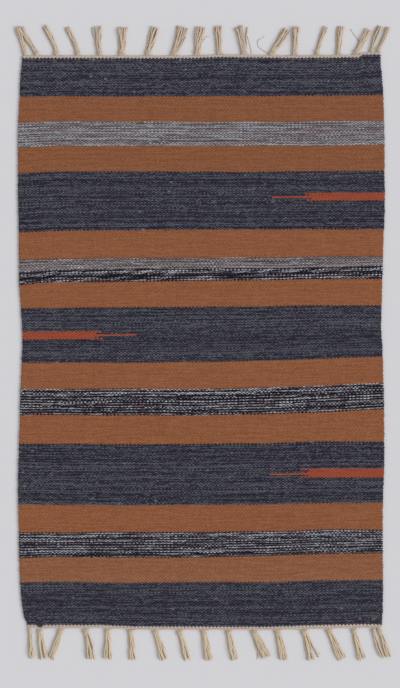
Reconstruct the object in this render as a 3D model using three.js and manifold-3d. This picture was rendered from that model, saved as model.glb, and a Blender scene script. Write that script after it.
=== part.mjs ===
// A flat-woven cotton floor rug with cross stripes, lying flat on the floor.
// The weft-faced cloth is one flat piece with slightly wavy selvedges. A narrow twined heading closes each
// end of the weave, and beyond it the warp ends are gathered in knots, each with its own loose tassel.
// Units are millimetres. +X runs across the rug, +Y along it, and +Z up from the floor.

import * as THREE from "three";
import { mergeVertices } from "three/addons/utils/BufferGeometryUtils.js";
import Module from "manifold-3d";

const wasm = await Module();
wasm.setup();

// Pieces that touch in the real rug stay this far apart.
const GAP = 0.3;

// The cloth.
const CLOTH_THICKNESS = 4;
const EDGE_ROUNDING = 1;

// The selvedges, from the upper end to the lower one: how far along the rug, and where the left and the
// right edge lie there. The weft pulls the sides in by a few millimetres here and there.
const SELVEDGES = [
  { along: 457, left: -297, right: 296.5 },
  { along: 408, left: -298.5, right: 300.5 },
  { along: 355, left: -302.5, right: 302 },
  { along: 279, left: -302, right: 302.5 },
  { along: 184, left: -301, right: 300.5 },
  { along: 100, left: -301, right: 299 },
  { along: 62, left: -297, right: 297.5 },
  { along: 0, left: -294.5, right: 298.5 },
  { along: -45, left: -297.5, right: 300.5 },
  { along: -165, left: -300, right: 302 },
  { along: -245, left: -302.5, right: 300.5 },
  { along: -350, left: -302, right: 300.5 },
  { along: -390, left: -298, right: 299.5 },
  { along: -435, left: -295.5, right: 299 },
  { along: -459, left: -291.5, right: 298.5 },
];

// The two ends, from the left corner to the right one: where the last pick of the weave lies, and where the
// outer edge of the heading beyond it lies. The upper right corner was beaten in less, and one loop of
// weft sags into the heading near the lower left corner.
const UPPER_END = [
  { x: -294, weave: 467.5, heading: 472 },
  { x: -20, weave: 467, heading: 471.5 },
  { x: 30, weave: 469, heading: 473.5 },
  { x: 150, weave: 467.5, heading: 472 },
  { x: 261.5, weave: 468.5, heading: 473 },
  { x: 265, weave: 473, heading: 475.5 },
  { x: 279, weave: 473, heading: 478 },
  { x: 294.5, weave: 473, heading: 477 },
];
const LOWER_END = [
  { x: -286.5, weave: -467.5, heading: -472.5 },
  { x: -272, weave: -467.5, heading: -473 },
  { x: -264, weave: -471.5, heading: -474 },
  { x: -256, weave: -467.5, heading: -473.5 },
  { x: -165, weave: -467.5, heading: -473 },
  { x: -110, weave: -470, heading: -475.5 },
  { x: 110, weave: -470.5, heading: -476 },
  { x: 185, weave: -468, heading: -474.5 },
  { x: 270, weave: -466, heading: -472.5 },
  { x: 297.5, weave: -467, heading: -472.5 },
];

// The heading: two cream yarns twined round the warps, one twist for each pair of warps.
const WARP_PITCH = 3.05;
const HEADING = { lowHeight: 3.1, twistHeight: 3.9, topInset: 0.6 };

// A tassel's strands are three-sided and lie level on the floor. They leave the knot side by side over
// rootSpread of its width, and the one that strays ends a little short of the others.
const STRAND = {
  height: 1.7,
  widest: 1.9,
  spacing: 0.3,
  steps: 4,
  rootAlong: 6.5,
  rootSpread: 0.85,
  tipTaper: 0.6,
  lengthSpread: 0.06,
  strayLength: 0.93,
};

// A tassel's knot, as a row of sections along it: how far from the heading, how wide as a share of the
// knot's half width, how high, and how far its top leans to one side where the yarns wrap over.
const KNOT_SECTIONS = [
  { along: 0, width: 0.8, height: 2.6, lean: 0 },
  { along: 1.8, width: 0.78, height: 3.6, lean: 0.25 },
  { along: 4.6, width: 1, height: 5.6, lean: 0.1 },
  { along: 7.6, width: 0.95, height: 4.8, lean: -0.25 },
  { along: 9.8, width: 0.7, height: 2.2, lean: 0 },
];
const KNOT_BASE_WIDTH = 3.6;
const KNOT_WIDTH_PER_STRAND = 0.95;

// The tassels of each end, from left to right: where the knot sits, where the middle of the tips lies, how
// far the middle of the tassel bows to the right of the straight line between them, its length and width
// at the tips, its number of strands, and how far an outer strand strays at its tip (left is negative).
const UPPER_TASSELS = [
  { root: -289.5, tip: -303, bow: 0, length: 47, width: 7.6, strands: 4, stray: 0 },
  { root: -269, tip: -293.5, bow: -1.5, length: 46, width: 9, strands: 6, stray: 0 },
  { root: -237.5, tip: -259, bow: 3, length: 48, width: 9, strands: 6, stray: 0 },
  { root: -202, tip: -221.5, bow: 1.5, length: 47, width: 9, strands: 6, stray: 0 },
  { root: -166.5, tip: -167, bow: -2, length: 48, width: 9, strands: 6, stray: -8 },
  { root: -131, tip: -129, bow: 0, length: 47, width: 17.5, strands: 8, stray: 0 },
  { root: -88, tip: -75.5, bow: -0.5, length: 47, width: 13.5, strands: 7, stray: 0 },
  { root: -45.5, tip: -29.5, bow: 1, length: 48, width: 19.5, strands: 8, stray: 0 },
  { root: -6.5, tip: -0.5, bow: -1, length: 47, width: 15.5, strands: 8, stray: 0 },
  { root: 30, tip: 29, bow: 0, length: 47, width: 13.5, strands: 7, stray: 0 },
  { root: 71.5, tip: 62, bow: 1, length: 47, width: 14, strands: 8, stray: 9 },
  { root: 115, tip: 139, bow: 0, length: 46, width: 13, strands: 7, stray: 0 },
  { root: 154.5, tip: 156, bow: 0, length: 47, width: 12.5, strands: 7, stray: 0 },
  { root: 190.5, tip: 207, bow: -1.5, length: 48, width: 8.5, strands: 5, stray: 0 },
  { root: 227, tip: 231.5, bow: -1.5, length: 47, width: 12, strands: 6, stray: 0 },
  { root: 252.5, tip: 275.5, bow: 0, length: 46, width: 12, strands: 6, stray: 0 },
  { root: 281.5, tip: 294, bow: -2.5, length: 42, width: 9.5, strands: 5, stray: 0 },
  { root: 291.5, tip: 309.5, bow: 0, length: 42, width: 7.6, strands: 4, stray: 0 },
];
const LOWER_TASSELS = [
  { root: -282, tip: -279.5, bow: -0.5, length: 50, width: 9, strands: 5, stray: 0 },
  { root: -265.5, tip: -261, bow: 0, length: 48, width: 13, strands: 6, stray: 0 },
  { root: -230.5, tip: -244.5, bow: 4, length: 51, width: 11.5, strands: 7, stray: 0 },
  { root: -191, tip: -182, bow: 1.5, length: 51, width: 15.5, strands: 8, stray: 0 },
  { root: -154, tip: -153.5, bow: 0, length: 51, width: 13.5, strands: 7, stray: 0 },
  { root: -116.5, tip: -112, bow: 0, length: 50, width: 11.5, strands: 6, stray: 0 },
  { root: -76, tip: -60.5, bow: 0, length: 50, width: 13.5, strands: 7, stray: 0 },
  { root: -36, tip: -21.5, bow: 0, length: 50, width: 13.5, strands: 7, stray: 0 },
  { root: 4.5, tip: 14, bow: -1, length: 50, width: 14, strands: 7, stray: 0 },
  { root: 45, tip: 55, bow: 0, length: 50, width: 13.5, strands: 7, stray: 0 },
  { root: 86.5, tip: 109, bow: -1, length: 45, width: 17.5, strands: 8, stray: -5 },
  { root: 125.5, tip: 137, bow: 0, length: 50, width: 14, strands: 7, stray: 0 },
  { root: 169, tip: 182, bow: 1.5, length: 51, width: 13.5, strands: 8, stray: 9 },
  { root: 210, tip: 232.5, bow: -1, length: 51, width: 15, strands: 7, stray: 0 },
  { root: 252, tip: 266.5, bow: -1.5, length: 52, width: 12, strands: 6, stray: 0 },
  { root: 284, tip: 298.5, bow: -3.5, length: 51, width: 7.5, strands: 4, stray: 0 },
  { root: 293, tip: 309.5, bow: -1, length: 47, width: 10.5, strands: 5, stray: 0 },
];

const finishes = {
  cloth: new THREE.MeshStandardMaterial({ color: 0x51494a, roughness: 0.95, metalness: 0 }),
  heading: new THREE.MeshStandardMaterial({ color: 0xc9b3a2, roughness: 0.95, metalness: 0 }),
  tassel: new THREE.MeshStandardMaterial({ color: 0xbfa98a, roughness: 0.95, metalness: 0 }),
};

// Where the weave or the heading of an end reaches to at x, held level past the two corners.
function reachAt(end, piece, x) {
  const clamped = Math.min(Math.max(x, end[0].x), end[end.length - 1].x);
  const next = Math.max(1, end.findIndex((row) => row.x >= clamped));
  const from = end[next - 1];
  const to = end[next];
  return THREE.MathUtils.mapLinear(clamped, from.x, to.x, from[piece], to[piece]);
}

// Makes one closed body from rings that hold the same number of corners, with flat ends.
function loft(rings) {
  const sides = rings[0].length;
  const positions = rings.flat().flatMap((corner) => [corner.x, corner.y, corner.z]);
  const index = [];
  for (let ring = 0; ring + 1 < rings.length; ring += 1) {
    for (let side = 0; side < sides; side += 1) {
      const a = ring * sides + side;
      const b = ring * sides + ((side + 1) % sides);
      index.push(a, b, b + sides);
      index.push(a, b + sides, a + sides);
    }
  }
  const lastRing = (rings.length - 1) * sides;
  for (let side = 1; side + 1 < sides; side += 1) {
    index.push(0, side + 1, side);
    index.push(lastRing, lastRing + side, lastRing + side + 1);
  }
  const geometry = new THREE.BufferGeometry();
  geometry.setAttribute("position", new THREE.Float32BufferAttribute(positions, 3));
  geometry.setIndex(index);
  return geometry;
}

// Turns a closed geometry into a solid whose faces point outwards.
function toSolid(geometry) {
  const merged = mergeVertices(geometry, 1e-4);
  const solid = solidFromIndex(merged, Uint32Array.from(merged.index.array));
  if (solid.volume() > 0) return solid;
  const flipped = Uint32Array.from(merged.index.array);
  for (let i = 0; i < flipped.length; i += 3) {
    [flipped[i + 1], flipped[i + 2]] = [flipped[i + 2], flipped[i + 1]];
  }
  return solidFromIndex(merged, flipped);
}

function solidFromIndex(geometry, triVerts) {
  const vertProperties = geometry.attributes.position.array;
  return new wasm.Manifold(new wasm.Mesh({ numProp: 3, vertProperties, triVerts }));
}

// Turns a solid back into a geometry to draw.
function toGeometry(solid) {
  const { vertProperties, triVerts } = solid.getMesh();
  const geometry = new THREE.BufferGeometry();
  geometry.setAttribute("position", new THREE.Float32BufferAttribute(vertProperties, 3));
  geometry.setIndex(new THREE.BufferAttribute(triVerts, 1));
  geometry.computeVertexNormals();
  return geometry;
}

// The woven cloth: one flat sheet cut to the rug's own outline, with softly rounded edges.
function makeCloth() {
  const outline = [
    ...UPPER_END.map(({ x, weave }) => new THREE.Vector2(x, weave)),
    ...SELVEDGES.map(({ along, right }) => new THREE.Vector2(right, along)),
    ...LOWER_END.toReversed().map(({ x, weave }) => new THREE.Vector2(x, weave)),
    ...SELVEDGES.toReversed().map(({ along, left }) => new THREE.Vector2(left, along)),
  ];
  const geometry = new THREE.ExtrudeGeometry(new THREE.Shape(outline), {
    depth: CLOTH_THICKNESS - 2 * EDGE_ROUNDING,
    bevelEnabled: true,
    bevelThickness: EDGE_ROUNDING,
    bevelSize: EDGE_ROUNDING,
    bevelOffset: -EDGE_ROUNDING,
    bevelSegments: 1,
  });
  geometry.translate(0, 0, EDGE_ROUNDING);
  return geometry;
}

// One heading: a low strip along the last pick that rises and falls with each twist of its yarns.
// outward is +1 at the upper end and -1 at the lower one.
function makeHeading(end, outward) {
  const stations = [];
  for (let row = 0; row + 1 < end.length; row += 1) {
    const span = end[row + 1].x - end[row].x;
    const steps = 2 * Math.max(1, Math.round(span / (2 * WARP_PITCH)));
    for (let step = 0; step < steps; step += 1) stations.push(end[row].x + (span * step) / steps);
  }
  stations.push(end[end.length - 1].x);
  const rings = stations.map((x, station) => {
    const inner = reachAt(end, "weave", x) + outward * GAP;
    const outer = reachAt(end, "heading", x);
    const top = station % 2 === 0 ? HEADING.lowHeight : HEADING.twistHeight;
    return [
      new THREE.Vector3(x, inner, 0),
      new THREE.Vector3(x, outer, 0),
      new THREE.Vector3(x, outer - outward * HEADING.topInset, top),
      new THREE.Vector3(x, inner + outward * HEADING.topInset, top),
    ];
  });
  return toGeometry(toSolid(loft(rings)));
}

// The centre line of a tassel on the floor, from its knot's root to the middle of its tips.
function tasselCentre(tassel, rootY, outward) {
  const root = new THREE.Vector2(tassel.root, rootY);
  const tip = new THREE.Vector2(tassel.tip, rootY + outward * tassel.length);
  const middle = root.clone().lerp(tip, 0.5);
  middle.x += 2 * tassel.bow;
  return new THREE.QuadraticBezierCurve(root, middle, tip);
}

// A ring of corners across a centre line: each profile corner is { side, up }, and across is a unit
// vector on the floor.
function ringAcross(centre, across, profile) {
  return profile.map(({ side, up }) => {
    return new THREE.Vector3(centre.x + across.x * side, centre.y + across.y * side, up);
  });
}

// The width of a tassel's knot, which grows with the number of strands tied in it.
function knotWidth(tassel) {
  return KNOT_BASE_WIDTH + KNOT_WIDTH_PER_STRAND * tassel.strands;
}

// The knot: a squat bead that begins level with the heading's outer edge and turns into the tassel.
function makeKnot(tassel, curve, end, outward) {
  const halfWidth = knotWidth(tassel) / 2;
  const length = curve.getLength();
  const turnedAt = KNOT_SECTIONS[2].along;
  const rings = KNOT_SECTIONS.map((section) => {
    const t = section.along / length;
    const side = halfWidth * section.width;
    const lean = halfWidth * section.lean;
    const tangent = curve.getTangent(t);
    const share = Math.min(1, section.along / turnedAt);
    const ahead = new THREE.Vector2(0, outward).lerp(tangent, share).normalize();
    const across = new THREE.Vector2(ahead.y, -ahead.x);
    return ringAcross(curve.getPoint(t), across, [
      { side: -0.7 * side, up: 0 },
      { side: 0.7 * side, up: 0 },
      { side, up: 0.45 * section.height },
      { side: 0.5 * side + lean, up: section.height },
      { side: -0.5 * side + lean, up: section.height },
      { side: -side, up: 0.45 * section.height },
    ]);
  });
  for (const corner of rings[0]) corner.y = reachAt(end, "heading", corner.x) + outward * GAP;
  return toSolid(loft(rings));
}

// One strand of a tassel: number counts from the left, and the strands spread quickly below the knot.
function makeStrand(tassel, curve, number) {
  const rootPitch = (STRAND.rootSpread * knotWidth(tassel)) / tassel.strands;
  const tipPitch = tassel.width / tassel.strands;
  const fromMiddle = number - (tassel.strands - 1) / 2;
  const outermost = tassel.stray < 0 ? 0 : tassel.strands - 1;
  const strays = tassel.stray !== 0 && number === outermost;
  const unevenness = Math.abs(Math.sin(2.4 * number + tassel.root));
  const start = STRAND.rootAlong / curve.getLength();
  const end = (1 - STRAND.lengthSpread * unevenness) * (strays ? STRAND.strayLength : 1);
  const rings = [];
  for (let step = 0; step <= STRAND.steps; step += 1) {
    const share = step / STRAND.steps;
    const t = THREE.MathUtils.lerp(start, end, share);
    const pitch = THREE.MathUtils.lerp(rootPitch, tipPitch, Math.sqrt(share));
    const offset = fromMiddle * pitch + (strays ? tassel.stray * share ** 1.5 : 0);
    const tangent = curve.getTangent(t);
    const across = new THREE.Vector2(Math.abs(tangent.y), -tangent.x * Math.sign(tangent.y));
    const taper = step === STRAND.steps ? STRAND.tipTaper : 1;
    const half = (taper * Math.min(pitch - STRAND.spacing, STRAND.widest)) / 2;
    rings.push(
      ringAcross(curve.getPoint(t), across, [
        { side: offset - half, up: 0 },
        { side: offset + half, up: 0 },
        { side: offset, up: taper * STRAND.height },
      ]),
    );
  }
  return toSolid(loft(rings));
}

// A whole tassel: its knot with every strand rooted in it.
function makeTassel(tassel, end, outward) {
  const rootY = reachAt(end, "heading", tassel.root) + outward * GAP;
  const curve = tasselCentre(tassel, rootY, outward);
  let solid = makeKnot(tassel, curve, end, outward);
  for (let number = 0; number < tassel.strands; number += 1) {
    solid = solid.add(makeStrand(tassel, curve, number));
  }
  return toGeometry(solid);
}

function addMesh(group, name, geometry, material) {
  const mesh = new THREE.Mesh(geometry, material.clone());
  mesh.name = name;
  group.add(mesh);
}

// Adds one end of the rug: its heading and its row of tassels.
function addEnd(group, label, end, outward, tassels) {
  addMesh(group, `heading_${label}`, makeHeading(end, outward), finishes.heading);
  tassels.forEach((tassel, position) => {
    const name = `tassel_${label}_${String(position + 1).padStart(2, "0")}`;
    addMesh(group, name, makeTassel(tassel, end, outward), finishes.tassel);
  });
}

const rug = new THREE.Group();
addMesh(rug, "rug_cloth", makeCloth(), finishes.cloth);
addEnd(rug, "upper", UPPER_END, 1, UPPER_TASSELS);
addEnd(rug, "lower", LOWER_END, -1, LOWER_TASSELS);

// The rug's bounding box is centred on the origin, with its underside on the floor.
const centre = new THREE.Box3().setFromObject(rug, true).getCenter(new THREE.Vector3());
rug.position.set(-centre.x, -centre.y, 0);

const part = new THREE.Group();
part.add(rug);

export default part;
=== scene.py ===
"""A flat-woven cotton kilim: a striped weft-faced cloth, its twined headings and its knotted tassels.

The cloth is built float by float: every pick of the weft passes over one warp and under the next, and
each float is a small raised patch of mesh. Lengths are millimetres in the rug's own frame, x from left to
right across the rug, y from its lower end to its upper one and z up from the floor, unless a comment says
otherwise. Meshes are made in metres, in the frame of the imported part.
"""

from __future__ import annotations

import logging
import math
from collections.abc import Callable
from dataclasses import dataclass, field, replace
from enum import Enum

import bpy
import numpy as np
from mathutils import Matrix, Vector


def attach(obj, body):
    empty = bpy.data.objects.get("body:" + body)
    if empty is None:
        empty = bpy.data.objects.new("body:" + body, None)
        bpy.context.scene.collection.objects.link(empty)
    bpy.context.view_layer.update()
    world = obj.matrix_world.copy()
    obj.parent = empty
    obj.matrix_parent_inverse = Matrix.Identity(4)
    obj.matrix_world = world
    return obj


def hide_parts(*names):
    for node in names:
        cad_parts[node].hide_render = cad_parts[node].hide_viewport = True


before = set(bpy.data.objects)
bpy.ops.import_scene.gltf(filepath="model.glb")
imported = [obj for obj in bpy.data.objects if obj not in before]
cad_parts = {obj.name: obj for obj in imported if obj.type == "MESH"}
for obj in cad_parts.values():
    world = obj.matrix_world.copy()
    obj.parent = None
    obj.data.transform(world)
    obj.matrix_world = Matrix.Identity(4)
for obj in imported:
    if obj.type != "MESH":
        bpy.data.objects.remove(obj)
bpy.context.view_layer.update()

log = logging.getLogger("kilim")

MM = 0.001
# From the rug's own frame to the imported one, whose origin is under the middle of the bounding box.
RUG_SHIFT = np.array([-3.499, 3.153, 0.0])
BODY = "root"

# The meshes' maps: for the bake, for places in the weave, for pick and warp numbers, and for round yarns.
BAKE_MAP = "OFBake"
WEFT_MAP = "Weft"
PICK_MAP = "Pick"
YARN_MAP = "Yarn"
CLOTH_MAPS = (BAKE_MAP, WEFT_MAP, PICK_MAP)
# How much wider than its longest yarn a row of a bake map is.
MAP_ROOM = 1.04
# How far apart two lengths of yarn, two picks and two kinds of fleck lie in the finishes' noise.
YARNS_APART = 1000.0
PICKS_APART = 5.31
FLECKS_APART = 41.3
GREY = (0.5, 0.5, 0.5, 1.0)

# How much of the cloth one warp and one pick take up.
WARP_PITCH = 3.05
PICK_PITCH = 2.13
# Where the outermost warps lie roughly, and how near the floor the cloth comes.
ROUGH_SELVEDGES = (-298.0, 299.0)
FLOOR_GAP = 0.02
# A direction that no yarn follows.
NO_PATH_WAY = (0.13, 0.21, 0.97)

# The selvedges: how far along the rug, and where its left and right edges lie there.
SELVEDGES = np.array(
    [
        (462, -295.5, 296.5), (440, -298, 298.5), (424, -299.2, 300.3), (404, -299.6, 301.3),
        (380, -300.8, 301.9), (355, -302, 302.8), (330, -302.3, 303.3), (285, -302.2, 303.1),
        (240, -302.2, 303.8), (206, -301.5, 303.4), (184, -301.1, 302.2), (147, -300.6, 300.8),
        (127, -300.5, 300.8), (100, -300.5, 299.3), (68, -298.2, 298.8), (45, -296.9, 298),
        (20, -295.2, 297.4), (0, -294.7, 298.8), (-20, -295.8, 300.5), (-45, -296.4, 300.6),
        (-90, -298.7, 302.2), (-140, -299.5, 302.7), (-209, -301.8, 302.8), (-245, -302.4, 301),
        (-270, -301.8, 300.6), (-300, -300.8, 300.3), (-350, -300.7, 300.2), (-390, -298.8, 300.8),
        (-410, -298, 300.6), (-435, -295.5, 300), (-450, -293.2, 299.9), (-460, -290.8, 299.3),
        (-466, -287.0, 298.8), (-476, -281.5, 298.3),
    ]
)[::-1]

# The ends: x, and where the last pick of the weave and the outer edge of the heading lie there.
UPPER_END = np.array(
    [
        (-294, 467.5, 472), (-20, 467, 471.5), (30, 469, 473.5), (150, 467.5, 472), (261.5, 468.5, 473),
        (265, 473, 475.5), (279, 473, 478), (294.5, 473, 477),
    ]
)
LOWER_END = np.array(
    [
        (-286.5, -467.5, -472.5), (-273.5, -467.5, -473), (-266, -472, -474.5), (-258.5, -467.5, -473.5),
        (-165, -467.5, -473), (-110, -470, -475.5), (110, -470.5, -476), (185, -468, -474.5),
        (270, -466, -472.5), (297.5, -467, -472.5),
    ]
)
# Where across the rug each stripe's lower edge is given.
STATIONS = (-288.0, -248.0, -133.0, 0.0, 131.0, 197.0, 288.0)
# How far to each side the tables are averaged, so that the stripes' edges and the selvedges bend softly.
STATION_EASE = 14.0
SELVEDGE_EASE = 9.0


class End(Enum):
    """The rug's two ends."""

    UPPER = "upper"
    LOWER = "lower"


class Yarn(Enum):
    """The wefts on the weaver's shuttles."""

    NAVY = "navy_marl"
    TERRACOTTA = "terracotta"
    TERRACOTTA_DEEP = "terracotta_deep"
    TERRACOTTA_SOFT = "terracotta_soft"
    PALE = "pale_melange"
    GREY = "grey_melange"
    STREAKED = "streaked_melange"
    DARK = "dark_melange"
    RUST = "rust_inlay"


@dataclass(frozen=True)
class Stripe:
    """One cross stripe: its weft, its number of picks and how far along the rug its lower edge lies.

    The lower edge has one place for each of the stations across the rug.
    """

    name: str
    yarn: Yarn
    picks: int
    edge: tuple[float, ...]


STRIPES = (
    Stripe("navy_stripe_1", Yarn.NAVY, 30, (403.4, 404.1, 403.8, 404.4, 405.2, 405.5, 406.4)),
    Stripe(
        "terracotta_stripe_1", Yarn.TERRACOTTA_DEEP, 20, (361.2, 363.4, 362.6, 361.8, 362.3, 362.8, 364.2)
    ),
    Stripe("pale_melange_stripe_1", Yarn.PALE, 20, (319.8, 321.8, 322.2, 322.1, 323.0, 323.1, 324.2)),
    Stripe(
        "terracotta_stripe_2", Yarn.TERRACOTTA_DEEP, 20, (278.4, 280.9, 280.7, 279.7, 280.0, 280.4, 281.2)
    ),
    Stripe("navy_stripe_2", Yarn.NAVY, 46, (180.6, 182.4, 183.4, 183.9, 184.3, 184.9, 184.9)),
    Stripe("terracotta_stripe_3", Yarn.TERRACOTTA, 22, (134.9, 136.8, 138.2, 138.4, 139.0, 140.0, 140.6)),
    Stripe("pale_melange_stripe_2", Yarn.GREY, 8, (113.5, 117.3, 119.6, 120.0, 120.6, 121.5, 124.0)),
    Stripe("dark_melange_stripe_1", Yarn.STREAKED, 10, (93.6, 97.5, 98.7, 100.1, 101.5, 102.9, 103.1)),
    Stripe("terracotta_stripe_4", Yarn.TERRACOTTA, 20, (54.7, 55.3, 56.2, 57.2, 58.7, 59.8, 59.3)),
    Stripe("navy_stripe_3", Yarn.NAVY, 42, (-35.4, -34.9, -34.6, -33.9, -30.9, -28.9, -25.8)),
    Stripe("terracotta_stripe_5", Yarn.TERRACOTTA, 20, (-78.3, -78.3, -78.2, -78.1, -74.7, -72.6, -68.4)),
    Stripe(
        "dark_melange_stripe_2", Yarn.DARK, 20, (-121.5, -120.9, -121.4, -122.5, -119.3, -116.6, -112.2)
    ),
    Stripe(
        "terracotta_stripe_6", Yarn.TERRACOTTA, 22, (-168.3, -168.4, -169.1, -168.6, -166.3, -164.8, -165.1)
    ),
    Stripe("navy_stripe_4", Yarn.NAVY, 48, (-269.0, -269.5, -269.7, -269.4, -268.0, -266.5, -266.0)),
    Stripe(
        "terracotta_stripe_7", Yarn.TERRACOTTA, 20, (-314.5, -314.4, -314.5, -314.1, -312.5, -310.0, -310.5)
    ),
    Stripe(
        "dark_melange_stripe_3", Yarn.DARK, 20, (-357.5, -355.9, -356.3, -355.6, -352.8, -349.7, -349.0)
    ),
    Stripe(
        "terracotta_stripe_8",
        Yarn.TERRACOTTA_SOFT,
        20,
        (-396.6, -395.5, -397.5, -396.9, -396.3, -394.1, -393.2),
    ),
    Stripe("navy_stripe_5", Yarn.NAVY, 34, (-467.5, -467.5, -469.0, -470.5, -469.5, -468.0, -467.0)),
)


@dataclass(frozen=True)
class Inlay:
    """A bar of rust weft laid into a navy stripe from one selvedge, with a forked end and a thin tail.

    Args:
        name: The piece's name.
        stripe: The stripe that it lies in.
        middle: How far along the rug its bar's middle lies.
        side: -1 where it starts at the left selvedge, +1 at the right one.
        reaches: For each pick from the upper one down, how far from x = 0 its inner end lies.
        tail_start: How far from x = 0 the bar ends and its two longest picks go on as the tail.
    """

    name: str
    stripe: str
    middle: float
    side: int
    reaches: tuple[float, ...]
    tail_start: float = 168.0


INLAYS = (
    Inlay("rust_inlay_upper", "navy_stripe_2", 237.3, 1, (172, 181, 118, 118, 181, 176)),
    Inlay("rust_inlay_middle", "navy_stripe_3", 9.9, -1, (163, 173, 106, 106, 175, 164)),
    Inlay("rust_inlay_lower", "navy_stripe_4", -217.8, 1, (166, 176, 178, 113, 113, 178, 164)),
)


@dataclass(frozen=True)
class TasselPlan:
    """One tassel on the floor: where its knot and tips lie, its bow, length, width and strands.

    stray is how far its outermost strand splays, to the left where it is negative. rise is how far its tips
    are lifted, where they lie on a neighbour. A crossed one's upper strands change sides on their way out.
    parted is the gap between its two halves at the tips.
    """

    root: float
    tip: float
    bow: float
    length: float
    width: float
    strands: int
    stray: float = 0.0
    rise: float = 0.0
    crossed: bool = False
    parted: float = 0.0


UPPER_TASSELS = (
    TasselPlan(-289.5, -302, 0, 47, 9, 4, rise=1.6),
    TasselPlan(-269, -296, -1.5, 46, 9.5, 6),
    TasselPlan(-237.5, -259, 3, 48, 9, 6),
    TasselPlan(-202, -221.5, 1.5, 47, 9, 6),
    TasselPlan(-166.5, -167, -2, 48, 9, 6, -8),
    TasselPlan(-131, -129, 0, 47, 17.5, 8, crossed=True),
    TasselPlan(-88, -75.5, -0.5, 47, 13.5, 7),
    TasselPlan(-45.5, -29.5, 1, 48, 19.5, 8),
    TasselPlan(-6.5, -0.5, -1, 47, 15.5, 8),
    TasselPlan(30, 29, 0, 47, 13.5, 7),
    TasselPlan(71.5, 62, 1, 47, 14, 8, 9),
    TasselPlan(115, 142.5, 0, 43, 15, 6),
    TasselPlan(154.5, 156, 0, 47, 12.5, 7, rise=1.6),
    TasselPlan(190.5, 207, -1.5, 48, 8.5, 5),
    TasselPlan(227, 231.5, -1.5, 47, 12, 6),
    TasselPlan(254, 277.5, 0, 43, 12, 6),
    TasselPlan(281.5, 297, -2.5, 43, 8, 4),
    TasselPlan(291.5, 309.5, 0, 42, 7.6, 4),
)
LOWER_TASSELS = (
    TasselPlan(-282, -279, -0.5, 50, 8, 4),
    TasselPlan(-266, -258.5, -0.5, 50, 12, 6, parted=3.5),
    TasselPlan(-230, -247.5, 0, 51, 11.5, 7),
    TasselPlan(-191, -182, 1.5, 51, 15.5, 8),
    TasselPlan(-154, -153.5, 0, 51, 13.5, 7),
    TasselPlan(-116.5, -112, 0, 50, 11.5, 6),
    TasselPlan(-76, -60.5, 0, 50, 13.5, 7),
    TasselPlan(-36, -21.5, 0, 50, 13.5, 7),
    TasselPlan(4.5, 14, -1, 50, 14, 7),
    TasselPlan(45, 55, 0, 50, 13.5, 7),
    TasselPlan(86.5, 109, -1, 45, 17.5, 8, -5),
    TasselPlan(125.5, 137, 0, 50, 14, 7),
    TasselPlan(169, 182, 1.5, 51, 13.5, 8, 9),
    TasselPlan(210, 232.5, -1, 51, 15, 7),
    TasselPlan(252, 266.5, -1.5, 52, 12, 6),
    TasselPlan(284.5, 302, -3, 50, 8, 4),
    TasselPlan(293, 309.5, 1, 48, 11, 5),
)


@dataclass(frozen=True)
class Wisp:
    """A thin strand that lies loose on the floor beside a tassel, through four places on it."""

    end: End
    tassel: int
    places: tuple[tuple[float, float], ...]


WISPS = (
    Wisp(End.UPPER, 9, ((3.0, 494.0), (7.0, 501.0), (11.0, 504.0), (14.5, 503.0))),
    Wisp(End.UPPER, 11, ((84.0, 474.5), (81.5, 486.0), (78.0, 499.0), (74.2, 513.0))),
    Wisp(End.UPPER, 12, ((111.4, 475.3), (98.4, 483.0), (93.6, 489.5), (94.0, 496.0))),
    Wisp(End.UPPER, 12, ((94.0, 495.0), (96.0, 498.5), (100.0, 500.5), (104.5, 504.0))),
    Wisp(End.UPPER, 12, ((129.0, 486.0), (131.5, 497.0), (133.0, 506.0), (133.5, 515.0))),
    Wisp(End.UPPER, 16, ((260.5, 494.0), (257.0, 501.0), (251.5, 508.0), (246.5, 516.0))),
    Wisp(End.LOWER, 11, ((97.0, -498.0), (94.5, -507.0), (93.0, -516.0), (92.0, -524.5))),
    Wisp(End.LOWER, 11, ((102.0, -500.0), (101.5, -508.0), (100.0, -517.0), (100.5, -525.0))),
    Wisp(End.LOWER, 13, ((180.0, -498.0), (184.5, -505.0), (190.5, -511.0), (197.0, -516.5))),
    Wisp(End.LOWER, 17, ((301.0, -497.0), (305.0, -504.0), (306.0, -512.0), (309.0, -518.0))),
)


def linear(red: float, green: float, blue: float) -> tuple[float, float, float, float]:
    """Turns a display colour, 0 to 255 a channel, into the scene's linear light by the sRGB curve."""
    shares = [value / 255 for value in (red, green, blue)]
    return (*[v / 12.92 if v <= 0.04045 else ((v + 0.055) / 1.055) ** 2.4 for v in shares], 1.0)


def read_table(table: np.ndarray, at: np.ndarray | float, column: int) -> np.ndarray:
    """Reads a column of a table at the places that its first column counts."""
    return np.interp(at, table[:, 0], table[:, column])


@dataclass(frozen=True)
class EndPlan:
    """One end of the rug.

    Args:
        end: Which end it is.
        outward: +1 where it faces up the rug, -1 down it.
        table: Its x, weave and heading columns.
        tassels: Its tassels, from the left.
    """

    end: End
    outward: int
    table: np.ndarray
    tassels: tuple[TasselPlan, ...]

    @property
    def name(self) -> str:
        """The word for it in the names of its pieces."""
        return self.end.value

    def inner(self, x: np.ndarray | float) -> np.ndarray:
        """Returns how far along the rug the last pick of the weave lies at x."""
        return read_table(self.table, x, 1)

    def outer(self, x: np.ndarray | float) -> np.ndarray:
        """Returns how far along the rug the heading's outer edge lies at x."""
        return read_table(self.table, x, 2)


ENDS = (
    EndPlan(End.UPPER, 1, UPPER_END, UPPER_TASSELS),
    EndPlan(End.LOWER, -1, LOWER_END, LOWER_TASSELS),
)


def run_lengths(path: np.ndarray) -> np.ndarray:
    """Returns how long each step of a path is."""
    return np.linalg.norm(np.diff(path, axis=0), axis=1)


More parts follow.
